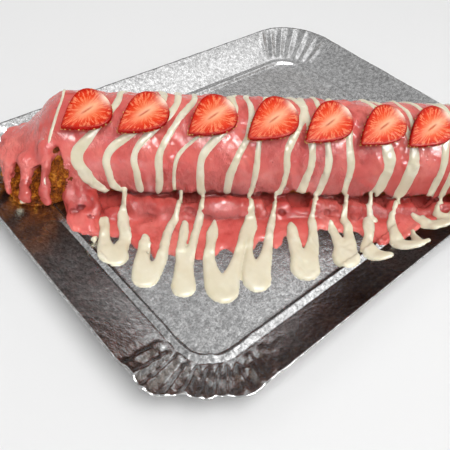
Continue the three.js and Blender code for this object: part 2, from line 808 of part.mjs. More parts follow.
// A drip that runs down over the crust and ends in a round drop.
function dripSolid([place, half, from, tip]) {
  const rings = [];
  const stops = [0, 0.4, 0.82, 0.95, 1];
  const widths = [1.25, 0.95, 1, 0.75, 0.3];
  stops.forEach((stop, i) => {
    const degrees = mix(from, tip, stop);
    const ring = [];
    const width = half * widths[i];
    for (let k = 0; k < 6; k += 1) {
      const a = (k * 60 + 90) * RAD;
      const u = place + width * Math.cos(a);
      const [w, z] = rollPoint(place, degrees, 1.3 + 2.7 * widths[i] * Math.sin(a));
      const bulge = flapAt(place, degrees);
      ring.push(point(u, w + Math.sign(w) * bulge, z));
    }
    rings.push(ring);
  });
  return solidOf(ringsGeometry(rings));
}

// ---- the strawberries ----

// Half a strawberry, cut face up: x from the stem to the tip, z up out of the face.
function berryGeometry(length, width, grow) {
  const around = 16;
  const half = width / 2 + grow;
  const outline = [];
  for (let i = 0; i < around; i += 1) {
    const a = (i / around) * 2 * Math.PI;
    const along = Math.cos(a);
    const x = along * (length / 2 + grow);
    const lean = 0.5 + 0.5 * along;
    const taper = 1 - 0.6 * lean ** 2.3;
    const dent = along < -0.86 ? 1.6 * (-along - 0.86) / 0.14 : 0;
    const side = Math.sin(a);
    outline.push([x + dent, half * Math.sign(side) * Math.abs(side) ** 0.82 * taper]);
  }
  const depth = BERRY.thickness + grow;
  const layers = [
    [1, 0],
    [1.01, 0.3],
    [0.8, 0.72],
    [0.36, 1],
  ];
  const rings = layers.map(([scale, drop]) => outline.map(([x, y]) => {
    const shift = -length * 0.06;
    const lift = drop === 0 ? grow : 0;
    return [shift + (x - shift) * scale, y * scale, lift - depth * drop];
  }));
  return ringsGeometry(rings);
}

function berryPlace([along, tilt]) {
  const matrix = new THREE.Matrix4();
  const a = tilt * RAD;
  const normal = new THREE.Vector3(0, -Math.sin(a), Math.cos(a));
  const down = new THREE.Vector3(0, -Math.cos(a), -Math.sin(a));
  const right = new THREE.Vector3(1, 0, 0);
  const tip = right.clone().multiplyScalar(Math.cos(BERRY_TURN * RAD));
  tip.addScaledVector(down, Math.sin(BERRY_TURN * RAD));
  const across = new THREE.Vector3().crossVectors(normal, tip);
  matrix.makeBasis(tip, across, normal);
  const origin = new THREE.Vector3(along, 0, ROLL.middle).addScaledVector(normal, BERRY_FACE);
  matrix.setPosition(origin);
  return matrix;
}

// ---- putting it together ----

function toTray(geometry) {
  const matrix = new THREE.Matrix4().makeRotationZ(TURN);
  matrix.setPosition(-ROLL.towardViewer * AWAY[0], -ROLL.towardViewer * AWAY[1], 0);
  return geometry.applyMatrix4(matrix);
}

function meshOf(name, geometry, colour, roughness, metalness) {
  const material = new THREE.MeshStandardMaterial({ color: colour, roughness, metalness });
  const mesh = new THREE.Mesh(geometry, material);
  mesh.name = name;
  return mesh;
}

function onTray(solid) {
  return solidOf(toTray(geometryOf(solid)));
}

// The outer shell alone: closed pockets are filled and loose bits are dropped.
function outerShell(solid) {
  return solid.decompose().sort((a, b) => b.volume() - a.volume())[0];
}

const keepOut = trayKeepOut();
const roll = onTray(solidOf(rollGeometry(0))).subtract(keepOut);

let coat = coatSolid();
coat = coat.add(poolSolid(FRONT_GAPS, FRONT_REACH, 1));
coat = coat.add(poolSolid(BACK_GAPS, BACK_REACH, -1));
FRONT_LOOPS.forEach((loop) => {
  coat = coat.add(loopSolid(loop, 1));
});
BACK_LOOPS.forEach((loop) => {
  coat = coat.add(loopSolid(loop, -1));
});
FRONT_STRINGS.forEach(([from, to]) => {
  coat = coat.add(stringSolid(from, to));
});
DRIPS.forEach((drip) => {
  coat = coat.add(dripSolid(drip));
});
coat = coat.subtract(solidOf(rollGeometry(GLAZE.gap)));
BERRIES.forEach((berry) => {
  const room = berryGeometry(berry[2], berry[3], BERRY.gap).applyMatrix4(berryPlace(berry));
  coat = coat.subtract(solidOf(room));
});
const glaze = outerShell(onTray(coat).subtract(keepOut));

const cake = new THREE.Group();
cake.add(meshOf('tray', weld(trayGeometry()), COLOURS.silver, 0.3, 0.9));
cake.add(meshOf('roll', geometryOf(roll), COLOURS.crust, 0.85, 0));
cake.add(meshOf('glaze', geometryOf(glaze), COLOURS.glaze, 0.25, 0));
BERRIES.forEach((berry, i) => {
  const geometry = weld(berryGeometry(berry[2], berry[3], 0));
  geometry.applyMatrix4(berryPlace(berry));
  cake.add(meshOf(`strawberry_${i + 1}`, toTray(geometry), COLOURS.berry, 0.35, 0));
});

export default cake;
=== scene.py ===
import functools
import itertools
import math

import bpy
import numpy as np
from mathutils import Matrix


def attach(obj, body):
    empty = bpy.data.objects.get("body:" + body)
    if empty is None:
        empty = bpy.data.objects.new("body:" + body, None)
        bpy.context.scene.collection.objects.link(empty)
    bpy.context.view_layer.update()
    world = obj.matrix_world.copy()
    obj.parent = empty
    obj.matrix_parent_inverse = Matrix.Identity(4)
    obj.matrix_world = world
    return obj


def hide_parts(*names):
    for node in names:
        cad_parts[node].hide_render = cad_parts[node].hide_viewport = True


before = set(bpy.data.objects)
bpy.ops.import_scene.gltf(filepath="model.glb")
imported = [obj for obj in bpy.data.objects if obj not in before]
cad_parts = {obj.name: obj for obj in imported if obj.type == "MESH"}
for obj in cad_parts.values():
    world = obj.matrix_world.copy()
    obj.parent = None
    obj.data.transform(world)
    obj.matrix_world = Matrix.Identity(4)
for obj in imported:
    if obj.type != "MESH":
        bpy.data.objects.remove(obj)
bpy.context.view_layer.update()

import openvdb
from mathutils import Matrix, Vector

# A glazed roll cake with strawberry halves on a silver board tray.
# Sizes are in millimetres and become metres when a mesh is made.
# Roll frame: u along the roll, w toward the viewer, z up.
MM = 0.001

TURN = math.radians(-37)
TOWARD_VIEWER = 6.7
ROLL_HALF_LENGTH = 190.0
ROLL_HALF_WIDTH = 32.0
ROLL_TOP = 65.6
ROLL_MIDDLE = 34.0
ROLL_BOTTOM = 1.2
# The roll's section is an ellipse above its middle and squarer below it.
LOWER_BEND = 0.62
MM_PER_DEGREE = 0.58
BESIDE = 37.0

TRAY_HALF_LENGTH = 190.0
TRAY_HALF_WIDTH = 144.0
TRAY_RADIUS = 48.0
FOOT_HALF_LENGTH = 154.0
FOOT_HALF_WIDTH = 116.0
FOOT_RADIUS = 27.0
# From the flange's foot in to the floor: how much less half length, half width and radius.
PRESSED = (5.0, 6.5, 5.0)
TRAY_SHEET = 1.4
FLOOR_HEIGHT = 1.5
LEDGE_HEIGHT = 3.6
RIM_HEIGHT = 19.7

# The coat's thickness, the angle of its lip from the top, and the pool's height.
COAT = 3.0
LIP_ANGLE = 113.0
POOL = 3.2

# Each white stripe: its place along the roll at STRIPE_ANGLES from the top, its width at the top
# and on the belly, and the angles where it starts and ends.
STRIPE_ANGLES = [-120, -70, -18, 0, 20, 45, 62, 76, 95, 116]
LIP = 130
STRIPES = [
    ([-150, -149, -145, -145, -147, -151, -155, -156, -156, -155], 2.2, 3.4, -LIP, 84),
    ([-101, -98, -107, -107, -112, -124, -133, -136, -128, -112], 4.6, 8.2, -LIP, LIP),
    ([-82, -84, -75, -77, -82, -99, -113, -116, -113, -104], 5.0, 5.8, -LIP, LIP),
    ([-69, -65, -66, -66, -72, -87, -96, -97, -93, -91], 5.4, 5.0, -LIP, 112),
    ([-49, -53, -54, -55, -64, -73, -79, -80, -78, -80], 4.6, 5.2, -LIP, 114),
    ([-40, -40, -40, -40, -41, -52, -66, -68, -69, -66], 1.6, 2.8, 36, LIP),
    ([-19, -19, -29, -26, -28, -39, -49, -51, -50, -47], 6.0, 5.8, -LIP, LIP),
    ([-5, -8, -18, -15, -15, -18, -24, -27, -30, -29], 4.4, 5.6, -LIP, 115),
    ([5, 7, -3, -5, -8, -10, -11, -11, -11, -13], 3.6, 4.2, -LIP, LIP),
    ([12, 12, 20, 25, 21, 13, 9, 11, 12, 8], 6.2, 4.8, -LIP, LIP),
    ([33, 29, 24, 24, 25, 27, 28, 29, 26, 23], 4.2, 6.0, -LIP, 117),
    ([31, 35, 35, 35, 36, 38, 40, 41, 40, 38], 4.2, 5.6, -LIP, LIP),
    ([60, 55, 44, 48, 54, 54, 56, 58, 58, 58], 5.6, 5.4, -LIP, 118),
    ([66, 70, 76, 81, 82, 81, 85, 87, 85, 81], 5.2, 9.4, -LIP, LIP),
    ([80, 80, 84, 91, 96, 100, 102, 103, 104, 102], 3.6, 4.0, -LIP, 48),
    ([97, 96, 98, 101, 103, 102, 104, 104, 103, 101], 3.2, 9.6, -LIP, LIP),
    ([104, 104, 109, 116, 121, 124, 126, 127, 127, 127], 3.6, 3.4, -LIP, 50),
    ([120, 124, 130, 131, 130, 126, 127, 128, 127, 126], 4.6, 6.2, -LIP, 117),
    ([138, 137, 134, 134, 134, 135, 136, 136, 136, 136], 3.4, 4.8, -LIP, LIP),
    ([139, 144, 146, 149, 151, 154, 156, 158, 157, 155], 4.4, 5.2, -LIP, 84),
]

# Where the crust shows under the coat: start and end along the roll.
FRONT_GAPS = [
    [-117, -106], [-71, -66], [-60, -49], [-2, 6], [17, 35], [54, 63], [75, 84],
    [86, 96], [106, 111], [116, 130], [139, 147],
]
BACK_GAPS = [[-122, -110], [-56, -44], [26, 34], [96, 108]]

# The coat's lower edge at the bare left end: place along the roll, degrees from the top.
LEFT_EDGE = [
    (-192, 52), (-183, 57), (-176.5, 42), (-170, 62), (-164, 66), (-159, 70), (-155.5, 68),
    (-150, 60), (-146, 58), (-143.5, 74), (-141.8, 110), (-140, 175),
]

# The outer edge of the pink pool: along the roll, out from its middle.
FRONT_POOL = [
    (-143, 42), (-139, 53.5), (-135, 64), (-130, 62), (-126, 65), (-121, 67), (-110, 66), (-99, 70),
    (-94, 78), (-85, 79), (-82, 87), (-75, 84), (-68, 83), (-60, 82), (-56, 83), (-51, 88), (-44, 85),
    (-39, 82), (-32, 75), (-29, 82), (-23, 79), (-13, 77), (-7, 69), (0, 71), (4, 79), (9, 71), (12, 62),
    (17, 70), (24, 76), (31, 70), (38, 57), (46, 58), (56, 61), (66, 58), (70, 64), (80, 75), (88, 73),
    (96, 71), (105, 68), (113, 60), (122, 56), (130, 53), (140, 50), (150, 46), (160, 40),
]
BACK_POOL = [
    (-142, 44), (-122, 56), (-108, 64), (-102, 58), (-82, 66), (-66, 60), (-58, 66), (-42, 58), (-24, 66),
    (-2, 60), (10, 54), (22, 62), (38, 56), (58, 60), (70, 50), (90, 56), (108, 48), (128, 50), (148, 44),
    (160, 38),
]

# Folds of glaze heaped beside the roll: chains of rounds, along, out, up and radius.
FOLDS = [
    [(-142, 32, 30, 2.6), (-141, 36.5, 19, 3.6), (-140, 41, 11, 4.4), (-138, 51, 5.4, 5.2),
     (-135, 59, 3.4, 4.6)],
    [(-134, 34, 20, 2.8), (-133, 37, 16, 3.8), (-133, 42, 11, 4.0), (-130, 52, 6, 4.6),
     (-130, 60, 3.5, 4.4)],
    [(-127, 35.5, 15, 3.4), (-125, 39, 14, 4.4), (-124, 44, 10, 5.4), (-126, 53, 6.4, 5.6),
     (-126, 60, 3.6, 4.8)],
    [(-113, 46, 4, 4.4), (-107, 46, 4.5, 4.8)],
    [(-101, 40, 12, 4.6), (-97, 43.5, 9.5, 6.2), (-91, 44, 9, 6.4)],
    [(-85, 43.5, 10, 7.2), (-79, 44, 9.6, 6.6)],
    [(-72, 41.5, 9, 6.2), (-66, 43, 7.6, 5.4)],
    [(-58, 43, 6.4, 5.2), (-52, 42.5, 6.2, 5.4)],
    [(-45, 44, 10, 6.4), (-36, 44.6, 10.6, 7.6), (-24, 44.6, 10.6, 7.6), (-15, 44, 10, 6.6)],
    [(-7, 41, 9.6, 5.6), (-4, 45, 6.4, 5.2)],
    [(4, 43, 6, 4.6), (9, 42, 8.6, 5.6), (13, 42, 8.6, 5.2)],
    [(20, 43, 4.6, 4.4), (31, 43, 4.6, 4.4)],
    [(38, 40, 9.6, 5.6), (45, 41, 8.6, 5.8), (51, 41, 8.2, 5.4)],
    [(57, 42, 5.4, 4.6), (61, 42, 5.4, 4.4)],
    [(66, 40, 8.6, 5.4), (72, 41, 7.6, 5.2)],
    [(79, 42, 5, 4.4), (84, 40, 7, 4.6), (90, 42, 5, 4.4)],
    [(98, 40, 8.4, 5.4), (104, 41, 6.6, 4.8), (112, 40, 7.6, 5.0)],
    [(120, 42, 4.6, 4.2), (128, 41, 4.6, 4.4), (134, 39, 7.6, 5.2)],
]
# The folds left of this place hang from the lip as a curtain.
CURTAIN_END = -120
SMALL_FOLDS = 66
# Pits in the heaped glaze: along, out, up and radius.
PITS = [
    (-131.5, 47, 10, 3.0), (-137, 50, 10, 1.8), (-126, 55, 9.5, 2.0), (-57, 47, 9, 2.6), (-21, 52, 8, 2.0),
    (11, 46, 9, 2.4), (45, 47, 9, 2.2),
]

# White loops on the tray and the strings that feed them: chains of rounds, along, out, half width.
FRONT_ARMS = [
    [(-116, 52, 1.4), (-117, 54, 3.2), (-116, 60, 3.0), (-116, 69, 3.6), (-114, 78, 5.6),
     (-112, 85, 7.2), (-106, 85, 7.2)],
    [(-103, 36, 1.8), (-104, 47, 2.0), (-104, 52, 3.8), (-103, 60, 3.5), (-101, 67, 3.8),
     (-104, 76, 4.6), (-107, 85, 7.2)],
    [(-88, 69, 2.4), (-88, 72, 3.4), (-89, 81, 4.2), (-90, 90, 5.4), (-88, 102, 8.6)],
    [(-63, 36, 1.4), (-66, 49, 1.8), (-69, 55, 3.0), (-73, 65, 3.0), (-75, 78, 2.9), (-77, 88, 3.6),
     (-82, 97, 5.4), (-87, 102, 8.4)],
    [(-60, 55, 1.8), (-61, 61, 3.0), (-62, 70, 3.0), (-64, 79, 2.7), (-63, 88, 4.2), (-62, 98, 6.4),
     (-63, 111, 8.0)],
    [(-47, 36, 1.3), (-49, 49, 1.6), (-50, 53, 2.8), (-53, 65, 2.5), (-56, 77, 3.0), (-59, 87, 3.8),
     (-62, 98, 6.2)],
    [(-39, 54, 1.2), (-41, 64, 4.4), (-43, 74, 2.9), (-45, 85, 3.9), (-44, 98, 5.2),
     (-40, 113, 9.0), (-37, 114, 9.0)],
    [(-13, 36, 1.4), (-12, 47, 1.6), (-13, 56, 5.0), (-19, 66, 3.0), (-22, 77, 3.0), (-25, 86, 3.6),
     (-29, 98, 4.8), (-36, 114, 9.0)],
    [(-13, 57, 4.8), (-14, 66, 2.3), (-16, 77, 2.2), (-17, 87, 3.6), (-17, 97, 6.2),
     (-14, 105, 9.6)],
    [(7, 36, 1.4), (4, 49, 1.6), (3, 54, 2.4), (0, 63, 2.5), (-2, 73, 3.1), (-5, 84, 4.2),
     (-9, 94, 6.0), (-14, 105, 9.4)],
    [(17, 54, 0.8), (17, 60, 3.6), (17, 70, 4.0), (18, 80, 5.0), (21, 95, 10.2)],
    [(37, 36, 1.2), (34, 47, 1.2), (33, 53, 3.2), (33, 61, 3.3), (31, 72, 4.4), (27, 82, 5.4),
     (21, 95, 10.2)],
    [(47, 53, 0.9), (48, 59, 3.0), (50, 66, 3.5), (51, 75, 5.0), (52, 86, 9.6)],
    [(61, 36, 1.3), (59, 46, 1.6), (58, 50, 3.3), (60, 54, 2.9), (60, 62, 3.6), (58, 73, 5.0),
     (52, 86, 9.6)],
    [(76, 50, 2.0), (76, 55, 4.4), (75, 60, 3.8), (74, 66, 2.6), (70, 74, 4.4), (70, 82, 6.4),
     (75, 86, 5.6), (82, 87, 2.4)],
    [(80, 36, 1.4), (78, 40, 1.8), (79, 46, 1.8), (82, 51, 1.8)],
    [(102, 36, 1.1), (99, 40, 1.3), (95, 49, 1.5), (94, 53, 3.2), (93, 60, 2.9), (92, 70, 4.4),
     (93, 77, 5.4), (98, 80, 4.8), (105, 80, 3.4), (111, 79, 1.2)],
    [(106, 64, 0.8), (106, 70, 2.0), (105, 78, 3.4)],
    [(112, 47, 1.0), (115, 50, 2.8), (118, 54, 3.6), (120, 58, 4.4), (126, 60, 4.6), (134, 58, 4.8),
     (143, 53, 5.0)],
    [(120, 48, 1.0), (119, 52, 2.4), (120, 56, 3.4)],
    [(136, 36, 1.2), (130, 45, 1.5), (130, 49, 1.9), (134, 53, 3.0), (140, 54, 4.6)],
    [(147, 36, 1.4), (149, 42, 3.6), (152, 46, 6.0)],
    [(158, 36, 1.4), (156, 41, 3.6), (153, 46, 6.0)],
]
# Loops behind the roll: body along and out, its radius, and where its two arms start.
BACK_LOOPS = [
    (-112, 66, 9.5, -121, -103),
    (-72, 71, 10.5, -81, -63),
    (-32, 69, 9.0, -40, -24),
    (8, 66, 10.5, -1, 17),
    (46, 69, 9.5, 38, 55),
    (84, 62, 9.0, 76, 93),
    (122, 57, 8.5, 114, 131),
]

# Drips over the bare crust: place along the roll, half width, start and tip in degrees from the top.
DRIPS = [
    [-184, 4.6, 50, 100],
    [-169.5, 5.4, 50, 95],
    [-155.5, 3.8, 52, 108],
    [156, 4.4, 60, 126],
    [170, 5, 54, 112],
    [-164, 5, -58, -120],
    [164, 5, -58, -124],
]

# Each strawberry half: place along the roll, tilt toward the viewer, length, width.
BERRIES = [
    [-128.5, 27, 36.5, 29.6],
    [-91.3, 28, 39, 28],
    [-45, 28.5, 38.2, 29.4],
    [-3.4, 30, 41.5, 30.6],
    [36.4, 31.5, 39.8, 29],
    [75.6, 33, 39.4, 28.6],
    [111, 33, 39.8, 28.8],
]
# Small white chips: along, out, up and radius.
CHIPS = [(-122.5, 70.5, 3.4, 2.3), (-86, 84, 5.6, 1.2), (88, 76, 6.0, 1.3), (-171.5, 43, 12.5, 3.4)]
# A half lies with its tip turned this far from the roll's right end.
BERRY_TURN = math.radians(142)
BERRY_THICKNESS = 9.2
# From the roll's middle line to a cut face.
BERRY_FACE = 42.3
SLIT_DEPTH = 0.55
SEEDS_EACH = 26
CRUMBS = 2600


# ---- numbers ----

def ease(low, high, value):
    t = np.clip((value - low) / (high - low), 0, 1)
    return t * t * (3 - 2 * t)


def smooth_min(a, b, k):
    h = np.clip(0.5 + 0.5 * (b - a) / k, 0, 1)
    return b + (a - b) * h - k * h * (1 - h)


def smooth_max(a, b, k):
    return -smooth_min(-a, -b, k)


def soft_curve(places, values, softness, low, high, step=0.5):
    """Even places from low to high, and a line through the values there with its corners rounded."""
    x = np.arange(low, high + step, step)
    reach = int(3 * softness / step)
    weights = np.exp(-0.5 * (np.arange(-reach, reach + 1) * step / softness) ** 2)
    y = np.pad(np.interp(x, places, values), reach, mode="edge")
    return x, np.convolve(y, weights / weights.sum(), "valid")


def rounded(nodes, times=2):
    """A chain of points with its corners cut."""
    nodes = np.asarray(nodes, float)
    for _ in range(times):
        cut = np.stack([0.75 * nodes[:-1] + 0.25 * nodes[1:], 0.25 * nodes[:-1] + 0.75 * nodes[1:]], 1)
        nodes = np.concatenate([nodes[:1], cut.reshape(-1, nodes.shape[1]), nodes[-1:]])
    return nodes


def noise(points, size, seed):
    """Smooth noise between -1 and 1, with features of about the given size."""
    lattice = np.random.default_rng(seed).uniform(-1, 1, (32, 32, 32))
    q = points / size
    base = np.floor(q).astype(int)
    t = q - base
    t = t * t * (3 - 2 * t)
    total = np.zeros(len(points))
    for corner in itertools.product((0, 1), repeat=3):
        weight = np.ones(len(points))
        for axis in range(3):
            weight = weight * (t[:, axis] if corner[axis] else 1 - t[:, axis])
        i = (base + np.array(corner)) % 32
        total += weight * lattice[i[:, 0], i[:, 1], i[:, 2]]
    return total


# ---- frames and meshes ----

COS = math.cos(TURN)
SIN = math.sin(TURN)


def to_tray(points):
    """From the roll frame to the tray frame."""
    u, w, z = np.moveaxis(np.asarray(points, float), -1, 0)
    v = -w - TOWARD_VIEWER
    return np.stack([u * COS - v * SIN, u * SIN + v * COS, z], -1)


def make_object(name, points, faces, material):
    """A smooth mesh from millimetre points and arrays of triangles and quads."""
    points = np.asarray(points, float) * MM
    faces = [np.asarray(f, np.int32) for f in faces if len(f)]
    loops = np.concatenate([f.ravel() for f in faces])
    sizes = np.concatenate([np.full(len(f), f.shape[1]) for f in faces])
    starts = np.concatenate([[0], np.cumsum(sizes)[:-1]]).astype(np.int32)
    mesh = bpy.data.meshes.new(name)
    mesh.vertices.add(len(points))
    mesh.vertices.foreach_set("co", points.ravel())
    mesh.loops.add(len(loops))
    mesh.loops.foreach_set("vertex_index", loops)
    mesh.polygons.add(len(sizes))
    mesh.polygons.foreach_set("loop_start", starts)
    mesh.polygons.foreach_set("use_smooth", np.ones(len(sizes), bool))
    mesh.update(calc_edges=True)
    mesh.validate()
    mesh.materials.append(material)
    piece = bpy.data.objects.new(name, mesh)
    bpy.context.scene.collection.objects.link(piece)
    return piece


def store(piece, name, values):
    """Keeps three numbers for each point, for the material to read."""
    layer = piece.data.attributes.new(name, "FLOAT_VECTOR", "POINT")
    layer.data.foreach_set("vector", np.asarray(values, np.float32).ravel())


def normals_of(points, faces):
    """Outward directions at the points."""
    total = np.zeros_like(points)
    for f in faces:
        if len(f) == 0:
            continue
        a = points[f[:, 2]] - points[f[:, 0]]
        b = points[f[:, -1]] - points[f[:, 1]]
        face = np.cross(a, b) if f.shape[1] == 4 else np.cross(points[f[:, 1]] - points[f[:, 0]], a)
        for corner in range(f.shape[1]):
            for axis in range(3):
                total[:, axis] += np.bincount(f[:, corner], face[:, axis], len(points))
    length = np.linalg.norm(total, axis=1)
    return total / np.maximum(length, 1e-9)[:, None]


def tube_faces(points, count):
    """Quads between rings of count points each."""
    a = np.arange(len(points) - count)
    b = np.where(a % count == count - 1, a + 1 - count, a + 1)
    return np.stack([a + count, b + count, b, a], 1)


def close_tube(points, count, first, last):
    """Adds a middle point at each end of a tube of rings, and gives the faces of the closed tube."""
    ring = np.arange(count)
    after = np.roll(ring, -1)
    start, middle = len(points) - count, len(points)
    fans = np.concatenate([
        np.stack([np.full(count, middle), ring, after], 1),
        np.stack([np.full(count, middle + 1), start + after, start + ring], 1),
    ])
    return np.concatenate([points, [first], [last]]), [tube_faces(points, count), fans]


# ---- materials ----

def linear(c):
    """One part of a colour, from 0 to 255, as the linear value that a shader takes."""
    c = c / 255
    return c / 12.92 if c <= 0.04045 else ((c + 0.055) / 1.055) ** 2.4


def colour_of(value):
    """A shader colour from a grey level or from red, green and blue out of 255; anything else as it is."""
    if isinstance(value, (int, float)):
        return (value, value, value, 1.0)
    if isinstance(value, tuple) and len(value) == 3:
        return (*map(linear, value), 1.0)
    return value


class Look:
    """A material or a world, with short ways to add nodes to its shader."""

    def __init__(self, owner, shader_type="BSDF_PRINCIPLED"):
        owner.use_nodes = True
        self.owner = owner
        self.tree = owner.node_tree
        self.shader = next(n for n in self.tree.nodes if n.type == shader_type)
        self.coordinates = self.add("ShaderNodeTexCoord").outputs
        self.place = self.coordinates["Object"]

    def feed(self, socket, value):
        if isinstance(value, bpy.types.NodeSocket):
            self.tree.links.new(value, socket)
        else:
            socket.default_value = value

    def add(self, kind, inputs=None, **settings):
        made = self.tree.nodes.new(kind)
        for key, value in settings.items():
            setattr(made, key, value)
        for key, value in (inputs or {}).items():
            self.feed(made.inputs[key], value)
        return made

    def set(self, **values):
        """Feeds the shader's inputs. Underscores in a name stand for spaces."""
        for key, value in values.items():
            self.feed(self.shader.inputs[key.replace("_", " ")], value)

    def ramp(self, factor, *stops):
        made = self.add("ShaderNodeValToRGB", {"Fac": factor})
        elements = made.color_ramp.elements
        while len(elements) < len(stops):
            elements.new(0.5)
        for element, (place, colour) in zip(elements, stops):
            element.position = place
            element.color = colour_of(colour)
        return made.outputs["Color"]

    def mix(self, factor, a, b, blend="MIX"):
        made = self.add("ShaderNodeMix", data_type="RGBA", blend_type=blend)
        for key, value in (("Factor", factor), ("A", colour_of(a)), ("B", colour_of(b))):
            self.feed(next(s for s in made.inputs if s.name == key and s.enabled), value)
        return next(s for s in made.outputs if s.enabled)

    def math(self, operation, *values):
        return self.add("ShaderNodeMath", dict(enumerate(values)), operation=operation).outputs[0]

    def times(self, a, b):
        return self.math("MULTIPLY", a, b)

    def attribute(self, name):
        return self.add("ShaderNodeAttribute", attribute_name=name).outputs["Vector"]

    def parts(self, vector):
        return self.add("ShaderNodeSeparateXYZ", {"Vector": vector}).outputs

    def scaled(self, vector, scale):
        return self.add("ShaderNodeMapping", {"Vector": vector, "Scale": scale}).outputs["Vector"]

    def noise(self, scale, detail=3.0, roughness=0.55, distortion=0.0, vector=None):
        inputs = {"Vector": vector or self.place, "Scale": scale, "Detail": detail, "Roughness": roughness,
                  "Distortion": distortion}
        return self.add("ShaderNodeTexNoise", inputs).outputs["Fac"]

    def bump(self, *layers):
        """Stacks bump layers of (height, distance in millimetres, strength)."""
        inputs = {}
        for height, distance, strength in layers:
            inputs.update(Height=height, Distance=distance * MM, Strength=strength)
            inputs["Normal"] = self.add("ShaderNodeBump", inputs).outputs["Normal"]
        self.set(Normal=inputs["Normal"])


def new_look(name):
    return Look(bpy.data.materials.new(name))


def pink_material():
    look = new_look("pink_glaze")
    lay = look.attribute("lay")
    cloud = look.noise(45.0, 4.0)
    base = look.ramp(cloud, (0.3, (205, 84, 80)), (0.5, (218, 105, 98)), (0.72, (230, 131, 121)))
    bruise = look.ramp(look.noise(62.0, 3.0, 0.6), (0.55, 0), (0.66, 0.5))
    base = look.mix(bruise, base, (178, 62, 54))
    speck = look.add("ShaderNodeTexVoronoi", {"Vector": look.place, "Scale": 150.0}).outputs["Distance"]
    sparse = look.noise(70.0, 1.0)
    dots = look.times(look.math("LESS_THAN", speck, 0.15), look.math("GREATER_THAN", sparse, 0.62))
    base = look.mix(look.times(dots, 0.45), base, (150, 40, 42))
    # Painted shade: darker under the curve of the roll and in the heaped glaze beside it.
    around = look.times(look.math("ABSOLUTE", look.parts(lay)[1]), 0.01)
    shaded = look.ramp(around, (0.38, 0), (0.5, 0.2), (0.6, 0.6), (0.73, 0.6), (0.8, 0))
    base = look.mix(shaded, base, (168, 54, 48))
    fold = look.noise(1.0, 4.0, 0.62, 0.9, look.scaled(lay, (0.34, 0.11, 0.2)))
    patch = look.ramp(look.noise(34.0, 2.0), (0.42, 0.12), (0.6, 1))
    look.bump((look.times(fold, patch), 2.4, 1.0), (look.noise(130.0, 2.0), 0.9, 0.6),
              (look.noise(420.0, 2.0), 0.3, 0.6))
    look.set(Base_Color=base, Roughness=look.ramp(cloud, (0.3, 0.05), (0.7, 0.17)), IOR=1.45,
             Subsurface_Weight=0.25, Subsurface_Radius=(1.0, 0.35, 0.3), Subsurface_Scale=2.5 * MM)
    return look.owner


def white_material():
    look = new_look("white_drizzle")
    cloud = look.noise(60.0)
    base = look.ramp(cloud, (0.3, (214, 205, 178)), (0.55, (222, 215, 191)), (0.75, (229, 224, 204)))
    look.bump((look.noise(150.0, 2.0), 0.6, 0.35), (look.noise(480.0, 2.0), 0.12, 0.3))
    look.set(Base_Color=base, Roughness=look.ramp(cloud, (0.3, 0.16), (0.7, 0.3)), IOR=1.45,
             Subsurface_Weight=0.2, Subsurface_Radius=(1.0, 0.8, 0.5), Subsurface_Scale=2.0 * MM)
    return look.owner


def crust_material():
    look = new_look("crust")
    coarse = look.noise(160.0, 5.0, 0.65)
    fine = look.noise(520.0, 3.0, 0.6)
    both = look.math("ADD", look.times(coarse, 0.65), look.times(fine, 0.35))
    base = look.ramp(both, (0.34, (52, 20, 2)), (0.44, (102, 46, 3)), (0.53, (148, 74, 6)),
                     (0.66, (208, 140, 44)))
    look.bump((coarse, 1.6, 0.9), (fine, 0.6, 0.8))
    look.set(Base_Color=base, Roughness=look.ramp(fine, (0.3, 0.4), (0.7, 0.8)), Specular_IOR_Level=0.1)
    return look.owner


def berry_material():
    look = new_look("strawberry")
    spoke = look.attribute("spoke")
    rim, _, skin = look.parts(look.attribute("lay"))
    slit, stem, pale = look.parts(look.attribute("core"))
    streak = look.noise(1.0, 3.0, 0.65, 0.0, look.scaled(spoke, (9.0, 9.0, 0.9)))
    grain = look.noise(1.0, 2.0, 0.5, 0.0, look.scaled(spoke, (3.0, 3.0, 4.0)))
    wobble = look.math("ADD", rim, look.times(look.math("SUBTRACT", grain, 0.5), 0.16))
    flesh = look.ramp(wobble, (0.0, (236, 120, 72)), (0.36, (230, 92, 46)), (0.62, (222, 60, 20)),
                      (0.84, (206, 36, 8)), (0.96, (170, 16, 6)))
    vein = look.ramp(streak, (0.5, 0), (0.58, 0.9), (0.7, 0.15))
    zone = look.ramp(wobble, (0.16, 0.1), (0.45, 0.6), (0.86, 0.75), (0.96, 0))
    cut = look.mix(look.times(vein, zone), flesh, (244, 166, 120))
    cut = look.mix(look.times(pale, 0.8), cut, (245, 196, 158))
    cut = look.mix(stem, cut, (250, 226, 206))
    # Painted shade in the hollow of the core's slit, which is only dented a little.
    cut = look.mix(slit, cut, (206, 104, 70))
    peel = look.ramp(grain, (0.3, (140, 10, 8)), (0.7, (186, 24, 14)))
    fine = look.noise(500.0, 2.0)
    look.bump((streak, 0.35, 0.4), (fine, 0.15, 0.3))
    look.set(Base_Color=look.mix(skin, cut, peel), Roughness=look.ramp(fine, (0.3, 0.2), (0.7, 0.36)),
             Subsurface_Weight=0.3, Subsurface_Radius=(1.0, 0.25, 0.12), Subsurface_Scale=2.5 * MM,
             Specular_IOR_Level=0.12)
    return look.owner


def seed_material():
    look = new_look("berry_seed")
    cloud = look.noise(300.0, 2.0)
    look.bump((cloud, 0.1, 0.3))
    look.set(Base_Color=look.ramp(cloud, (0.3, (196, 150, 60)), (0.7, (232, 196, 110))),
             Roughness=look.ramp(cloud, (0.3, 0.35), (0.7, 0.55)))
    return look.owner


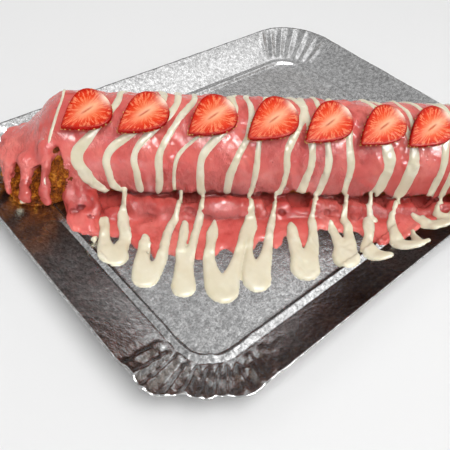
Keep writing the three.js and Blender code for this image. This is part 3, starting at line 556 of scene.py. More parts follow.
def foil_material():
    look = new_look("silver_board")
    grain = look.noise(700.0, 3.0, 0.7)
    cell = look.noise(330.0, 2.0, 0.6, 0.4)
    both = look.math("ADD", look.times(grain, 0.5), look.times(cell, 0.5))
    dent = look.noise(70.0, 4.0, 0.6)
    wide = look.noise(14.0)
    look.bump((wide, 2.0, 0.3), (dent, 0.7, 0.45), (cell, 0.35, 0.6), (grain, 0.2, 0.6))
    look.set(Base_Color=look.ramp(both, (0.34, 0.3), (0.5, 0.62), (0.64, 0.95)),
             Roughness=look.ramp(wide, (0.3, 0.2), (0.7, 0.32)), Metallic=1.0)
    return look.owner


def floor_material():
    look = new_look("floor")
    base = look.ramp(look.noise(1.5, 2.0), (0.3, 0.755), (0.7, 0.775))
    look.set(Base_Color=base, Roughness=0.7, Specular_IOR_Level=0.0)
    return look.owner


PINK = pink_material()
WHITE = white_material()
CRUST = crust_material()
BERRY = berry_material()
SEED = seed_material()
FOIL = foil_material()


# ---- the roll's shape ----

def top_at(u):
    far = np.abs(u)
    return ROLL_TOP - 32 * ease(143, 179, far) - 0.15 * np.maximum(far - 176, 0)


def half_width_at(u):
    k = np.clip((np.abs(u) - 158) / 38, 0, 0.97)
    return ROLL_HALF_WIDTH * np.sqrt(1 - k ** 3)


def middle_at(u):
    return np.minimum(ROLL_MIDDLE, top_at(u) * 0.52)


def flap_at(u, degrees):
    """How far the roll's loose seam flap stands out at the bare left end."""
    along = ease(-128, -158, u) * ease(-188, -176, u)
    return 13 * along * ease(74, 104, degrees) * ease(180, 158, degrees)


def roll_point(u, degrees, thickness):
    """A point of the roll's surface at an angle from the top, moved out by a thickness."""
    a = np.radians(degrees)
    side, up = np.sin(a), np.cos(a)
    top, middle = top_at(u), middle_at(u)
    half = half_width_at(u) + thickness
    lower = up < 0
    w = np.where(lower, half * np.sign(side) * np.abs(side) ** LOWER_BEND, half * side)
    drop = (middle - ROLL_BOTTOM) * np.abs(up) ** LOWER_BEND
    rise = (top - middle + thickness) * up
    return w, np.where(lower, middle - drop, middle + rise)


def roll_field(u, w, z):
    """Distance outside the roll's surface, and the angle from the top."""
    top, middle, half = top_at(u), middle_at(u), half_width_at(u)
    over = z - middle
    upper = over > 0
    height = np.where(upper, top - middle, middle - ROLL_BOTTOM)
    power = np.where(upper, 2.0, 2 / LOWER_BEND)
    rw = np.maximum(np.abs(w) / half, 1e-4)
    rz = np.maximum(np.abs(over) / height, 1e-4)
    k = (rw ** power + rz ** power) ** (1 / power)
    slope_w = (rw / k) ** (power - 1) / half
    slope_z = (rz / k) ** (power - 1) / height
    distance = (k - 1) / np.sqrt(slope_w ** 2 + slope_z ** 2)
    bend = power / 2
    angle = np.degrees(np.arctan2(np.sign(w) * rw ** bend, np.sign(over) * rz ** bend))
    return distance, angle


def flange_height(s):
    """Height of the flange, from 0 at its foot to 1 at the rim: shallow first, then steeper."""
    return LEDGE_HEIGHT + (RIM_HEIGHT - LEDGE_HEIGHT) * (0.64 * s + 0.36 * s * s)


def tray_top(x, y):
    """Height of the tray's upper side, as if its corners were square."""
    ax, ay = np.abs(x), np.abs(y)
    kx = (ax - FOOT_HALF_LENGTH) / (TRAY_HALF_LENGTH - FOOT_HALF_LENGTH)
    ky = (ay - FOOT_HALF_WIDTH) / (TRAY_HALF_WIDTH - FOOT_HALF_WIDTH)
    k = np.clip(np.maximum(kx, ky), 0, 1)
    on_floor = (ax < FOOT_HALF_LENGTH - PRESSED[0] - 1) & (ay < FOOT_HALF_WIDTH - PRESSED[1] - 1)
    return np.where(on_floor, FLOOR_HEIGHT, flange_height(k))


# ---- the glaze as a field of distances ----

STEP = 1.0
CHAIN_MARGIN = 4.0
U_AXIS = np.arange(-195, 195, STEP, dtype=np.float32)
W_AXIS = np.arange(-86, 124, STEP, dtype=np.float32)
Z_AXIS = np.arange(-1, 73, STEP, dtype=np.float32)
U3 = U_AXIS[:, None, None]
W3 = W_AXIS[None, :, None]
Z3 = Z_AXIS[None, None, :]
U2 = U_AXIS[:, None]
W2 = W_AXIS[None, :]
UNDER = to_tray(np.stack(np.broadcast_arrays(U2, W2, 0 * U2), -1))
TRAY_UNDER = tray_top(UNDER[..., 0], UNDER[..., 1])


def gap_at(u, gaps):
    """1 in the middle of a gap and 0 away from all gaps."""
    total = np.zeros_like(u)
    for start, end in gaps:
        soft = min(2.5, (end - start) / 2)
        total = np.maximum(total, ease(start - 0.5, start + soft, u) * ease(end + 0.5, end - soft, u))
    return total


EDGE_U, EDGE_ANGLE = soft_curve(*zip(*LEFT_EDGE), 1.2, -200, 200)


def edge_at(u, side):
    """Where the coat ends over the bare crust at both ends, in degrees from the top."""
    right = ease(146, 158, u)
    if side < 0:
        bare = np.maximum(1 - ease(-150, -139, u), right)
        return 175 + (76 + 6 * np.sin(u * 0.4) - 175) * bare
    left = np.interp(u, EDGE_U, EDGE_ANGLE)
    return left + (72 + 6 * np.sin(u * 0.5) - left) * right


def lip_at(u):
    """Where the coat's lip hangs, in degrees from the top."""
    return LIP_ANGLE + 2.6 * np.sin(u * 0.21) + 1.8 * np.sin(u * 0.53 + 1) + 1.2 * np.sin(u * 0.97)


def coat_thickness(u, angle):
    """Thickness of the pink coat: even on top, a bead at the lip, a thin web below it, none on bare crust."""
    size = np.abs(angle)
    swell = 0.5 * np.sin(u * 0.13) * np.sin(angle * 0.05 + u * 0.03) + 0.3 * np.sin(u * 0.31 + angle * 0.11)
    knob = 2.4 * np.exp(-((u + 159) / 5.5) ** 2 - ((angle + 22) / 26) ** 2)
    gap = np.where(angle > 0, gap_at(u, FRONT_GAPS), gap_at(u, BACK_GAPS))
    lip = lip_at(u) - 6 * gap
    bead = 1.2 * np.exp(-((size - lip + 5) / 6) ** 2)
    below = ease(lip - 1.5, lip + 5, size)
    web = 1.7 + 0.5 * np.sin(u * 0.7) - 4.4 * gap
    thick = COAT + swell + bead + knob
    thick = thick + (web - thick) * below
    edge = np.where(angle > 0, edge_at(u, 1), edge_at(u, -1))
    bare = ease(edge - 2.5, edge + 4, size)
    return thick + (-2.5 - thick) * bare


def grid_window(nodes):
    """The part of the grid around a chain of nodes, each with its radius last."""
    reach = nodes[:, -1].max() + CHAIN_MARGIN
    window = []
    for column, axis in zip(nodes.T[:-1], (U_AXIS, W_AXIS, Z_AXIS)):
        low = int((column.min() - reach - axis[0]) / STEP)
        high = int((column.max() + reach - axis[0]) / STEP) + 2
        window.append(slice(max(0, low), max(1, high)))
    return tuple(window)


def rod_distances(nodes, place):
    """Distances to the round-ended tapered rods between the nodes of a chain, at some places."""
    for a, b in zip(nodes[:-1], nodes[1:]):
        along = b - a
        reach = max(along[:-1] @ along[:-1], 1e-6)
        t = np.clip(sum((p - start) * way for p, start, way in zip(place, a, along)) / reach, 0, 1)
        apart = sum((p - start - t * way) ** 2 for p, start, way in zip(place, a, along))
        yield np.sqrt(apart) - (a[-1] + along[-1] * t)


def capsule_chain(nodes):
    """Distance to a chain of rods, in the part of the grid around it."""
    nodes = np.asarray(nodes, float)
    window = grid_window(nodes)
    place = (U3[window[0]], W3[:, window[1]], Z3[:, :, window[2]])
    return window, functools.reduce(np.minimum, rod_distances(nodes, place)).astype(np.float32)


def flat_chain(nodes):
    """Distance in plan to a chain of rounds, in the part of the grid around it."""
    window = grid_window(nodes)
    rounds = rod_distances(nodes, (U2[window[0]], W2[:, window[1]]))
    return window, functools.reduce(lambda a, b: smooth_min(a, b, 1.5), rounds)


def add_rods(field, nodes, softness):
    """Joins a chain of rods, with each node along, out, up and radius, to the field."""
    window, rod = capsule_chain(nodes)
    field[window] = smooth_min(field[window], rod, softness)


def pool_height(side, pool):
    """How far each place lies inside the pool's edge, and the height of the pool there."""
    places, reach = zip(*pool)
    u, edge = soft_curve(places, reach, 1.6, places[0], places[-1])
    edge = np.interp(U_AXIS, u, edge) + 0.7 * np.sin(U_AXIS * 0.9) + 0.6 * np.sin(U_AXIS * 0.47 + side)
    slope = np.gradient(edge, STEP)
    beyond = np.maximum(places[0] - U_AXIS, U_AXIS - places[-1])
    inside = (edge[:, None] - side * W2) / np.sqrt(1 + np.minimum(slope, 1.5)[:, None] ** 2)
    inside = np.minimum(inside, -beyond[:, None])
    k = np.clip(inside / 2.6, 0, 1)
    uneven = 0.5 * np.sin(U2 * 0.19 + W2 * 0.13) * np.sin(W2 * 0.21 - U2 * 0.07)
    return inside, (POOL + uneven) * np.sqrt(1 - (1 - k) ** 2)


def side_folds(field, side, gaps, seed):
    """Small uneven folds of glaze that run along beside the roll."""
    random = np.random.default_rng(seed)
    for u in np.linspace(-118, 150, SMALL_FOLDS):
        u = u + random.uniform(-2, 2)
        gap = float(gap_at(np.array([u]), gaps)[0])
        w = random.uniform(39, 50)
        radius = random.uniform(2.0, 4.8)
        half = random.uniform(0.8, 4.5)
        lean = random.uniform(-2.6, 2.6)
        if gap > 0.6 and w < 47:
            continue
        x, y, _ = to_tray([u, side * w, 0])
        low = float(tray_top(x, y)) + (1 - (w - BESIDE) / 12) * (5.5 - 4 * gap) + 1.2
        start = (u - half, side * (w - lean), low, radius)
        end = (u + half, side * (w + lean), low, radius * 0.9)
        add_rods(field, rounded([start, end]), 0.8)


def build_pink():
    """The pink glaze's field, with the distance to the roll and the angle round it."""
    distance, angle = roll_field(U3, W3, Z3)
    field = distance - coat_thickness(np.broadcast_to(U3, distance.shape), angle)
    end_edge = 15 + 3 * np.sin(W3 * 0.35) + 2 * np.sin(W3 * 0.8)
    end_coat = 2.4 - 5 * ease(end_edge + 2, end_edge - 2, Z3)
    field = smooth_max(field, np.abs(U3) - ROLL_HALF_LENGTH - end_coat, 5)
    for side, gaps, pool in ((1, FRONT_GAPS, FRONT_POOL), (-1, BACK_GAPS, BACK_POOL)):
        inside, height = pool_height(side, pool)
        # The glaze stands against the roll between the lip and the pool.
        lean = np.clip((45 - side * W2) / 11, 0, 1) * np.clip(inside / 6, 0, 1)
        lean = lean * (1 - 0.9 * gap_at(U2, gaps))
        low = Z3 - (TRAY_UNDER + height + 2.2 * lean)[:, :, None]
        shallow = np.maximum(low, -inside[:, :, None])
        shallow = np.maximum(shallow, 4 - side * W3)
        field = smooth_min(field, shallow, 1.2)
        side_folds(field, side, gaps, 11 + side)
    for chain in FOLDS:
        curtain = chain[0][0] < CURTAIN_END
        add_rods(field, rounded(chain), 2.4 if curtain else 1.2)
        if not curtain:
            behind = [(u + 9, -w, z * 0.9, r * 0.9) for u, w, z, r in chain]
            add_rods(field, rounded(behind), 1.2)
    for u, w, z, radius in PITS:
        window, pit = capsule_chain([(u - 0.8, w, z, radius), (u + 0.8, w, z - 1, radius)])
        field[window] = smooth_max(field[window], -pit, 1.0)
    for place, half, start, tip in DRIPS:
        stops = np.array([0, 0.3, 0.6, 0.85, 0.97])
        degrees = start + (tip - start) * stops
        w, z = roll_point(place, degrees, 1.6)
        w = w + np.sign(w) * flap_at(place, degrees)
        u = place + 0.8 * np.sin(stops * 5)
        radii = 0.95 * half * np.array([1.3, 0.95, 0.78, 0.92, 1.08])
        window, drop = capsule_chain(np.stack([u, w, z, radii], 1))
        shell, _ = roll_field(U3[window[0]], W3[:, window[1]], Z3[:, :, window[2]])
        flat = flap_at(U3[window[0]], 120.0) if tip > 90 else 0
        drop = smooth_max(drop, shell - flat - 4.6, 2.5)
        field[window] = smooth_min(field[window], drop.astype(np.float32), 4.0)
    floor = TRAY_UNDER[:, :, None] - 0.6 - Z3
    return np.maximum(field, floor).astype(np.float32), distance, angle


def surface_height(field):
    """Height of the upper surface of the field or the tray beside the roll."""
    height = TRAY_UNDER.copy()
    for i in range(len(Z_AXIS) - 1):
        here, above = field[:, :, i], field[:, :, i + 1]
        cross = (here <= 0) & (above > 0)
        z = Z_AXIS[i] + STEP * here / np.where(cross, here - above, 1)
        height = np.where(cross & (z > height), z, height)
    return height


def blur(values, size):
    """Averages over a square of the given half size, twice."""
    for _ in range(2):
        for axis in (0, 1):
            total = sum(np.roll(values, k, axis) for k in range(-size, size + 1))
            values = total / (2 * size + 1)
    return values


def stripe_on_coat(field, distance, angle, index, stripe):
    """Adds one white stripe, a low ridge that lies on the coat, to the field."""
    places, top_width, belly_width, first, last = stripe
    degrees, middles = soft_curve(STRIPE_ANGLES, places, 7.5, -135, 135)
    slants = np.gradient(middles, degrees) / math.radians(ROLL_MIDDLE)
    part = tuple(slice(int((low - axis[0]) / STEP), int((high - axis[0]) / STEP)) for low, high, axis in (
        (min(places) - 14, max(places) + 14, U_AXIS), (-42, 42, W_AXIS)))
    a = angle[part]
    u = U3[part[0]]
    middle = np.interp(a, degrees, middles)
    slant = np.interp(a, degrees, slants)
    width = top_width + (belly_width - top_width) * ease(20, 75, a) * (1 - 0.35 * ease(98, 116, a))
    half = 0.5 * width * (1 + 0.1 * np.sin(a * 0.09 + index * 1.7) + 0.05 * np.sin(a * 0.23 + index))
    half = half * ease(first - 4, first + 10, a) * (1 - 0.75 * ease(last - 9, last + 1, a))
    half = np.maximum(half, 0.05)
    x = np.abs(u - middle) / np.sqrt(1 + slant ** 2)
    dome = np.where(x < half, 0.9 * (1 - (x / half) ** 2.8), -1.3 * (x - half))
    skin = distance[part] - coat_thickness(np.broadcast_to(u, a.shape), a)
    band = np.maximum(skin - dome, -skin - 1.4)
    over = np.abs(a) - np.minimum(lip_at(u) + 3, edge_at(u, 1) + 20)
    band = smooth_max(band, over * MM_PER_DEGREE, 1.0)
    outside = np.maximum(a - last, first - a)
    band = smooth_max(band, outside * MM_PER_DEGREE, 1.0)
    field[part] = np.minimum(field[part], band)


def build_white(pink, distance, angle):
    """The white drizzle's field: stripes on the coat, and arms that lie on the pool and the tray."""
    field = np.full(pink.shape, 9.0, np.float32)
    for index, stripe in enumerate(STRIPES):
        stripe_on_coat(field, distance, angle, index, stripe)
    surface = surface_height(pink)
    under = np.maximum(blur(surface, 1), surface - 0.3)
    arms = list(FRONT_ARMS)
    for u, w, r, left, right in BACK_LOOPS:
        for start, way in ((left, -1), (right, 1)):
            arms.append([(start, -38, 1.6), (start, -46, 3.4), (u + way * r * 0.55, 9 - w, 3.8),
                         (u + way * 1.5, -w, r)])
    plan = np.full(under.shape, 9.0)
    for arm in arms:
        window, d = flat_chain(rounded(arm))
        plan[window] = smooth_min(plan[window], d, 0.8)
    inside = np.clip(-plan / 3.4, 0, 1)
    dome = 3.3 * np.sqrt(1 - (1 - inside) ** 2)
    raised = np.clip((under - TRAY_UNDER) / POOL, 0, 1)
    top = under + dome * (1 - 0.3 * raised)
    lowest = under
    for axis in (0, 1):
        lowest = np.minimum(lowest, np.minimum(np.roll(lowest, 1, axis), np.roll(lowest, -1, axis)))
    lying = np.maximum(Z3 - top[:, :, None], (lowest - 1.2)[:, :, None] - Z3)
    lying = np.maximum(lying, plan[:, :, None])
    lying = np.maximum(lying, 37.5 - np.abs(W3))
    field = smooth_min(field, lying.astype(np.float32), 0.6)
    # Short bridges from the lip of the coat to the strings.
    for u, w, half in (arm[0] for arm in FRONT_ARMS):
        if w > BESIDE:
            continue
        low = float(under[int((u - U_AXIS[0]) / STEP), int((39 - W_AXIS[0]) / STEP)])
        add_rods(field, [(u, 33.6, 17.5, half * 1.3), (u, 35.2, 15.5, half),
                         (u, 36.8, max(low, 12) + 0.4, half), (u, 39.5, low + 0.2, half * 1.1)], 0.8)
    # A thin streak down one of the drips at the bare end.
    degrees = np.linspace(44, 103, 9)
    place = DRIPS[2][0]
    w, z = roll_point(place, degrees, 3.4)
    w = w + flap_at(place, degrees)
    down = np.linspace(0, 1, len(degrees))
    sway = place + 0.9 * np.sin(4 * down)
    add_rods(field, np.stack([sway, w, z, 1.5 - 0.9 * down ** 2], 1), 0.8)
    floor = TRAY_UNDER[:, :, None] - 0.5 - Z3
    return np.maximum(field, floor).astype(np.float32)


def mesh_field(field):
    """Points in millimetres and faces of the field's zero surface."""
    grid = openvdb.FloatGrid(3.0)
    grid.copyFromArray(np.clip(field, -3, 3).astype(np.float32))
    points, tris, quads = grid.convertToPolygons(isovalue=0.0, adaptivity=0.0)
    points = points.astype(float) * STEP + np.array([U_AXIS[0], W_AXIS[0], Z_AXIS[0]])
    tris, quads = tris.astype(np.int32), quads.astype(np.int32)
    # A negative volume says that the faces are wound inward.
    volume = 0.0
    for f in (quads[:, [0, 1, 2]], quads[:, [0, 2, 3]], tris):
        a, b, c = (points[f[:, k]] for k in range(3))
        volume += (a * np.cross(b, c)).sum()
    if volume < 0:
        tris, quads = tris[:, ::-1], quads[:, ::-1]
    return points, [quads, tris]


def lay_of(points):
    """Along the roll, round the roll and up, in millimetres."""
    _, angle = roll_field(points[:, 0], points[:, 1], points[:, 2])
    side = np.abs(points[:, 1])
    around = np.where(side > BESIDE, 62 + side - BESIDE, np.abs(angle) * MM_PER_DEGREE)
    return np.stack([points[:, 0], around * np.sign(points[:, 1] + 1e-9), points[:, 2]], 1)


def ripple(points, faces, amount):
    """Moves the glaze's points out and in, in small uneven swells that the pink and the white share."""
    lay = lay_of(points)
    lean = np.stack([lay[:, 0] - 0.45 * lay[:, 1], lay[:, 1] * 0.35, lay[:, 2] * 0.35], 1)
    patch = 0.3 + 0.7 * ease(-0.25, 0.25, noise(points, 24.0, 4))
    height = 0.3 * noise(points, 9.0, 3) + (1.0 * noise(lean, 3.6, 5) + 0.5 * noise(points, 2.8, 8)) * patch
    side = np.abs(points[:, 1])
    beside = ease(36, 39, side) * ease(60, 50, side)
    curtain = ease(-112, -122, points[:, 0])
    height += (0.9 * noise(points, 5.5, 9) + 1.6 * curtain * noise(points, 8.0, 10)) * beside * amount
    dry = ease(3.2, 5, points[:, 2])
    return points + normals_of(points, faces) * (height * amount * (0.35 + 0.65 * dry))[:, None]


def glaze():
    pink, distance, angle = build_pink()
    white = build_white(pink, distance, angle)
    for name, field, material, slot, amount in (
        ("glaze_pink", pink, PINK, "pink_glaze", 1.0),
        ("glaze_white", white, WHITE, "white_drizzle", 0.8),
    ):
        points, faces = mesh_field(field)
        moved = ripple(points, faces, amount)
        piece = make_object(name, to_tray(moved), faces, material)
        store(piece, "lay", lay_of(points))
        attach(piece, "root")
        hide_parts("glaze")
        piece.visible_glossy = False


# ---- the crust ----

def crust():
    end = ROLL_HALF_LENGTH - 1.5
    bare = np.concatenate([np.arange(-end, -130, 1.1), np.arange(-130, 136, 2.4), np.arange(136, end, 1.1)])
    degrees = np.arange(-180, 180, 2.5)
    u, d = np.meshgrid(bare, degrees, indexing="ij")
    w, z = roll_point(u, d, 0)
    crack = -3.2 * ease(-132, -144, u) * np.exp(-((d - 72) / 5) ** 2)
    w = w + np.sign(w) * flap_at(u, d) + crack * np.sin(np.radians(d))
    rings = [np.stack([u, w, z], -1)]
    low, high = rings[0][0], rings[0][-1]
    for shrink, out in ((0.93, 1.1), (0.72, 1.5), (0.4, 1.6), (0.12, 1.6)):
        for sign, ring in ((-1, low), (1, high)):
            middle = ring.mean(0)
            cap = middle + (ring - middle) * shrink
            cap[:, 0] = ring[:, 0] + sign * out
            rings.insert(0 if sign < 0 else len(rings), cap[None])
    points = np.concatenate(rings).reshape(-1, 3)
    count = len(degrees)
    out = normals_of(points, [tube_faces(points, count)])
    rough = 0.8 * noise(points, 4.2, 21) + 0.6 * noise(points, 2.0, 22) + 0.4 * noise(points, 1.1, 23)
    points = points + out * (rough - 0.3)[:, None]
    below = to_tray(points)
    points[:, 2] = np.maximum(points[:, 2], tray_top(below[:, 0], below[:, 1]) + 0.2)
    points, faces = close_tube(points, count, points[:count].mean(0), points[-count:].mean(0))
    piece = make_object("roll_crust", to_tray(points), faces, CRUST)
    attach(piece, "root")
    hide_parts("roll")


def lump_template():
    """A small rough lump: a cube's corners, edges and faces pushed to a rough ball."""
    corners = np.array(list(itertools.product((-1, 0, 1), repeat=3)), float)
    corners = corners[np.abs(corners).max(1) == 1]
    shape = corners / np.linalg.norm(corners, axis=1)[:, None]
    index = {tuple(c): i for i, c in enumerate(corners)}
    quads = []
    for axis, sign in itertools.product(range(3), (-1, 1)):
        others = [k for k in range(3) if k != axis]
        for a, b in itertools.product((-1, 0), repeat=2):
            quad = []
            for da, db in ((0, 0), (1, 0), (1, 1), (0, 1)):
                corner = np.zeros(3)
                corner[axis] = sign
                corner[others[0]] = a + da
                corner[others[1]] = b + db
                quad.append(index[tuple(corner)])
            turn = 1 if (axis == 1) != (sign > 0) else -1
            quads.append(quad[::turn])
    return shape, np.array(quads)


def scatter(name, places, normals, sizes, material, seed):
    """Small rough lumps at the given places, joined to one piece."""
    random = np.random.default_rng(seed)
    shape, quads = lump_template()
    points, faces = [], []
    for place, normal, size in zip(places, normals, sizes):
        spin = np.linalg.qr(random.normal(size=(3, 3)))[0]
        if np.linalg.det(spin) < 0:
            spin[:, 0] *= -1
        rough = shape * (1 + 0.3 * random.uniform(-1, 1, (len(shape), 1)))
        rough = rough * random.uniform(0.65, 1.1, 3) * size
        faces.append(quads + len(points) * len(shape))
        points.append(rough @ spin.T + place + normal * size * 0.2)
    piece = make_object(name, to_tray(np.concatenate(points)), [np.concatenate(faces)], material)
    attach(piece, "root")
    return piece


def crumbs():
    random = np.random.default_rng(31)
    places, normals, sizes = [], [], []
    while len(places) < CRUMBS:
        left = random.random() < 0.62
        u = random.uniform(-189, -138) if left else random.uniform(146, 189)
        d = random.uniform(74, 158) * (1 if random.random() < 0.62 else -1)
        w, z = roll_point(u, d, 0)
        w += np.sign(w) * float(flap_at(u, d))
        x, y, _ = to_tray([u, float(w), 0])
        if z < tray_top(x, y) + 1.6 or (left and d > 0 and 66 < d < 77):
            continue
        a = math.radians(d)
        places.append((u, float(w), float(z)))
        normals.append((0, math.sin(a), math.cos(a)))
        sizes.append(random.uniform(0.45, 1.25))
    scatter("crust_crumbs", np.array(places), np.array(normals), sizes, CRUST, 32)


# ---- the strawberries ----

def berry_outline(length, width, angles):
    """The outline of a cut face: straight sides that open out from the tip, widest toward the stem."""
    along = np.cos(angles)
    t = 0.5 - 0.5 * along
    half = width / 2 * np.abs(np.sin(math.pi * t ** 1.8)) ** 0.47
    return along * length / 2, np.sign(np.sin(angles)) * half


def berry(index, along, tilt, length, width):
    """One strawberry half, cut face up. Gives the places and outward directions of its seeds."""
    around = 112
    angles = np.arange(around) / around * 2 * math.pi
    x, y = berry_outline(length, width, angles)
    face = np.linspace(0.0, 0.95, 20)[1:]
    # Rings from the middle of the cut face round to the underside: size and height.
    profile = [(r, 0.35 * (1 - r ** 2)) for r in face]
    profile += [(0.975, -0.12), (0.992, -0.4), (1.0, -0.9), (1.008, -1.8), (1.01, -2.8), (0.985, -4.2),
                (0.92, -5.6), (0.8, -6.8), (0.62, -8.0), (0.36, -BERRY_THICKNESS)]
    middle_x = -length * 0.06
    rings, lay, spoke, core = [], [], [], []
    for r, z in profile:
        px = middle_x + (x - middle_x) * r
        py = y * r
        cut = z > -0.3
        slit = np.exp(-((px - middle_x) / 4.6) ** 4 - (py / 0.75) ** 2) * cut
        stem = np.exp(-((px + length / 2) / 3.6) ** 2 - (py / 5.5) ** 2) * cut
        pale_x = (px - middle_x + 0.07 * length) / (0.27 * length)
        pale = np.exp(-pale_x ** 2 - (py / (0.12 * width)) ** 2) * cut
        rings.append(np.stack([px, py, z - SLIT_DEPTH * slit], 1))
        rim = np.full(around, min(r, 1.0)) if cut else np.ones(around)
        lay.append(np.stack([rim, angles, np.full(around, 0.0 if z > -0.35 else 1.0)], 1))
        spoke.append(np.stack([np.cos(angles), np.sin(angles), np.full(around, r * 3 + index * 7)], 1))
        core.append(np.stack([slit, stem, pale], 1))
    top = (middle_x, 0, 0.35 - SLIT_DEPTH)
    bottom = (middle_x, 0, -BERRY_THICKNESS)
    points, faces = close_tube(np.concatenate(rings), around, top, bottom)
    lay = np.concatenate(lay + [[[0, 0, 0]], [[1, 0, 1]]])
    spoke = np.concatenate(spoke + [[[0, 0, index * 7]], [[0, 0, 3 + index * 7]]])
    core = np.concatenate(core + [[[1, 0, 1]], [[0, 0, 0]]])
    out = normals_of(points, faces)
    relief = 0.1 * noise(spoke * np.array([9.0, 9.0, 1.0]), 1.0, 60 + index) * (lay[:, 0] ** 0.5)
    relief = relief + 0.12 * noise(points, 2.4, 70 + index)
    points = points + out * relief[:, None]

    a = math.radians(tilt)
    normal = np.array([0, math.sin(a), math.cos(a)])
    down = np.array([0, math.cos(a), -math.sin(a)])
    right = np.array([1.0, 0, 0])
    tip = right * math.cos(BERRY_TURN) + down * math.sin(BERRY_TURN)
    # The roll frame's w points the other way from the tray's, so this product is reversed.
    across = -np.cross(normal, tip)
    origin = np.array([along, 0, ROLL_MIDDLE]) + normal * BERRY_FACE

    frame_of = np.stack([tip, across, normal])
    piece = make_object(f"berry_{index}", to_tray(origin + points @ frame_of), faces, BERRY)
    store(piece, "lay", lay)
    store(piece, "spoke", spoke)
    store(piece, "core", core)
    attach(piece, "root")
    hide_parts(f"strawberry_{index}")

    random = np.random.default_rng(50 + index)
    turns = np.linspace(0, 2 * math.pi, SEEDS_EACH, endpoint=False)
    turns = turns + random.uniform(-0.08, 0.08, SEEDS_EACH)
    sx, sy = berry_outline(length, width, turns)
    deep = random.uniform(-3.6, -1.2, SEEDS_EACH)
    seeds = np.stack([middle_x + (sx - middle_x) * 1.004, sy * 1.004, deep], 1)
    outward = np.stack([sx / length, sy / width, 0 * sx], 1)
    outward = outward / np.linalg.norm(outward, axis=1)[:, None]
    return origin + seeds @ frame_of, outward @ frame_of


def berries():
    seeds, outward = [], []
    for i, (along, tilt, length, width) in enumerate(BERRIES):
        places, normals = berry(i + 1, along, tilt, length, width)
        seeds.append(places)
        outward.append(normals)
    seeds, outward = np.concatenate(seeds), np.concatenate(outward)
    scatter("berry_seeds", seeds, outward, np.full(len(seeds), 0.6), SEED, 90)


def chips():
    rows = np.array(CHIPS)
    upward = np.tile([0.0, 0.0, 1.0], (len(rows), 1))
    scatter("white_chips", rows[:, :3], upward, rows[:, 3], WHITE, 91)


# ---- the tray ----

CORNER_UNIT = TRAY_RADIUS * math.pi / 2
# How far the crumpled corner's rim is pushed in: place round the corner from 0 to 1, and depth.
DENTS = [
    (-0.2, 0), (-0.05, -2), (0.1, 0), (0.25, -4), (0.39, -10), (0.5, -8), (0.6, -6.8), (0.72, -9),
    (0.82, -7), (0.94, -1), (1.05, 0), (1.2, -0.8), (1.35, 0),
]
DENT_PLACES, DENT_DEPTHS = soft_curve(*zip(*DENTS), 0.025, -0.6, 1.8, 0.005)
# The corners are counted from +X +Y round by -X: which one is crumpled, and the pleats in each.
CRUMPLED = 2
PLEATS = [6, 6, 7.4, 6]
PEAK = 0.93
FLANGE_RINGS = 25


def rounded_outline(half_length, half_width, radius):
    """A rounded rectangle: points, outward directions, corner and place round that corner."""
    arc_steps, side_steps = 110, 90
    corners = [(1, 1, 0), (-1, 1, 90), (-1, -1, 180), (1, -1, 270)]
    centre = np.array([half_length - radius, half_width - radius])
    points, out, which, turn = [], [], [], []
    for i, (sx, sy, start) in enumerate(corners):
        t = np.arange(arc_steps + 1) / arc_steps
        angle = np.radians(start + 90 * t)
        way = np.stack([np.cos(angle), np.sin(angle)], 1)
        arc = centre * (sx, sy) + radius * way
        points.append(arc)
        out.append(way)
        which.append(np.full(len(t), i))
        turn.append(t)
        nx, ny, nstart = corners[(i + 1) % 4]
        a = math.radians(nstart)
        end = centre * (nx, ny) + radius * np.array([math.cos(a), math.sin(a)])
        k = 0.5 - 0.5 * np.cos(math.pi * np.arange(1, side_steps) / side_steps)
        side = arc[-1] + (end - arc[-1]) * k[:, None]
        length = np.linalg.norm(end - arc[-1])
        points.append(side)
        out.append(np.tile(way[-1], (len(k), 1)))
        near = k < 0.5
        which.append(np.where(near, i, (i + 1) % 4))
        turn.append(np.where(near, 1 + k * length / CORNER_UNIT, (k - 1) * length / CORNER_UNIT))
    return np.concatenate(points), np.concatenate(out), np.concatenate(which), np.concatenate(turn)


def zigzag(turns):
    """A wave between -1 and 1 with straight sides and slightly rounded peaks."""
    return np.arcsin(PEAK * np.sin(2 * math.pi * turns)) / math.asin(PEAK)


def tray_ring(half_length, half_width, radius, height, s):
    """One ring of the tray; s runs from 0 at the flange's foot to 1 at the rim."""
    plan, out, which, c = rounded_outline(half_length, half_width, radius)
    crumpled = which == CRUMPLED
    pleats = np.array(PLEATS)[which]
    crumpled_drift = 0.16 * np.sin(7.5 * c + 0.7) + 0.07 * np.sin(17 * c)
    drift = np.where(crumpled, crumpled_drift, 0.05 * np.sin(5 * c + which))
    wave = zigzag(pleats * c + drift + 0.2)
    crumpled_window = ease(-0.35, 0.0, c) * ease(1.6, 1.1, c)
    window = np.where(crumpled, crumpled_window, ease(-0.15, 0.04, c) * ease(1.15, 0.96, c))
    middle = math.sin(math.pi * min(s, 1.0)) ** 0.6
    crumpled_depth = 0.2 + 1.25 * middle * (1 - 0.15 * s) + 0.35 * s
    depth = np.where(crumpled, crumpled_depth, 0.3 + 1.1 * middle - 0.3 * s)
    lift = wave * window * depth * ease(0.0, 0.2, s)
    dent = np.where(crumpled, np.interp(c, DENT_PLACES, DENT_DEPTHS), 0) * s
    sag = np.where(crumpled, 3 * ease(-0.1, 0.25, c) * ease(1.25, 0.9, c), 0) * s ** 1.5
    sway = np.where(crumpled, 1.1 * np.sin(13 * c + 1) * window, 0) * s ** 2
    plan = plan + out * (dent - 0.35 * np.abs(lift) * s)[:, None]
    z = height + lift - sag + sway
    return np.stack([plan[:, 0], plan[:, 1], z], 1), crumpled * window


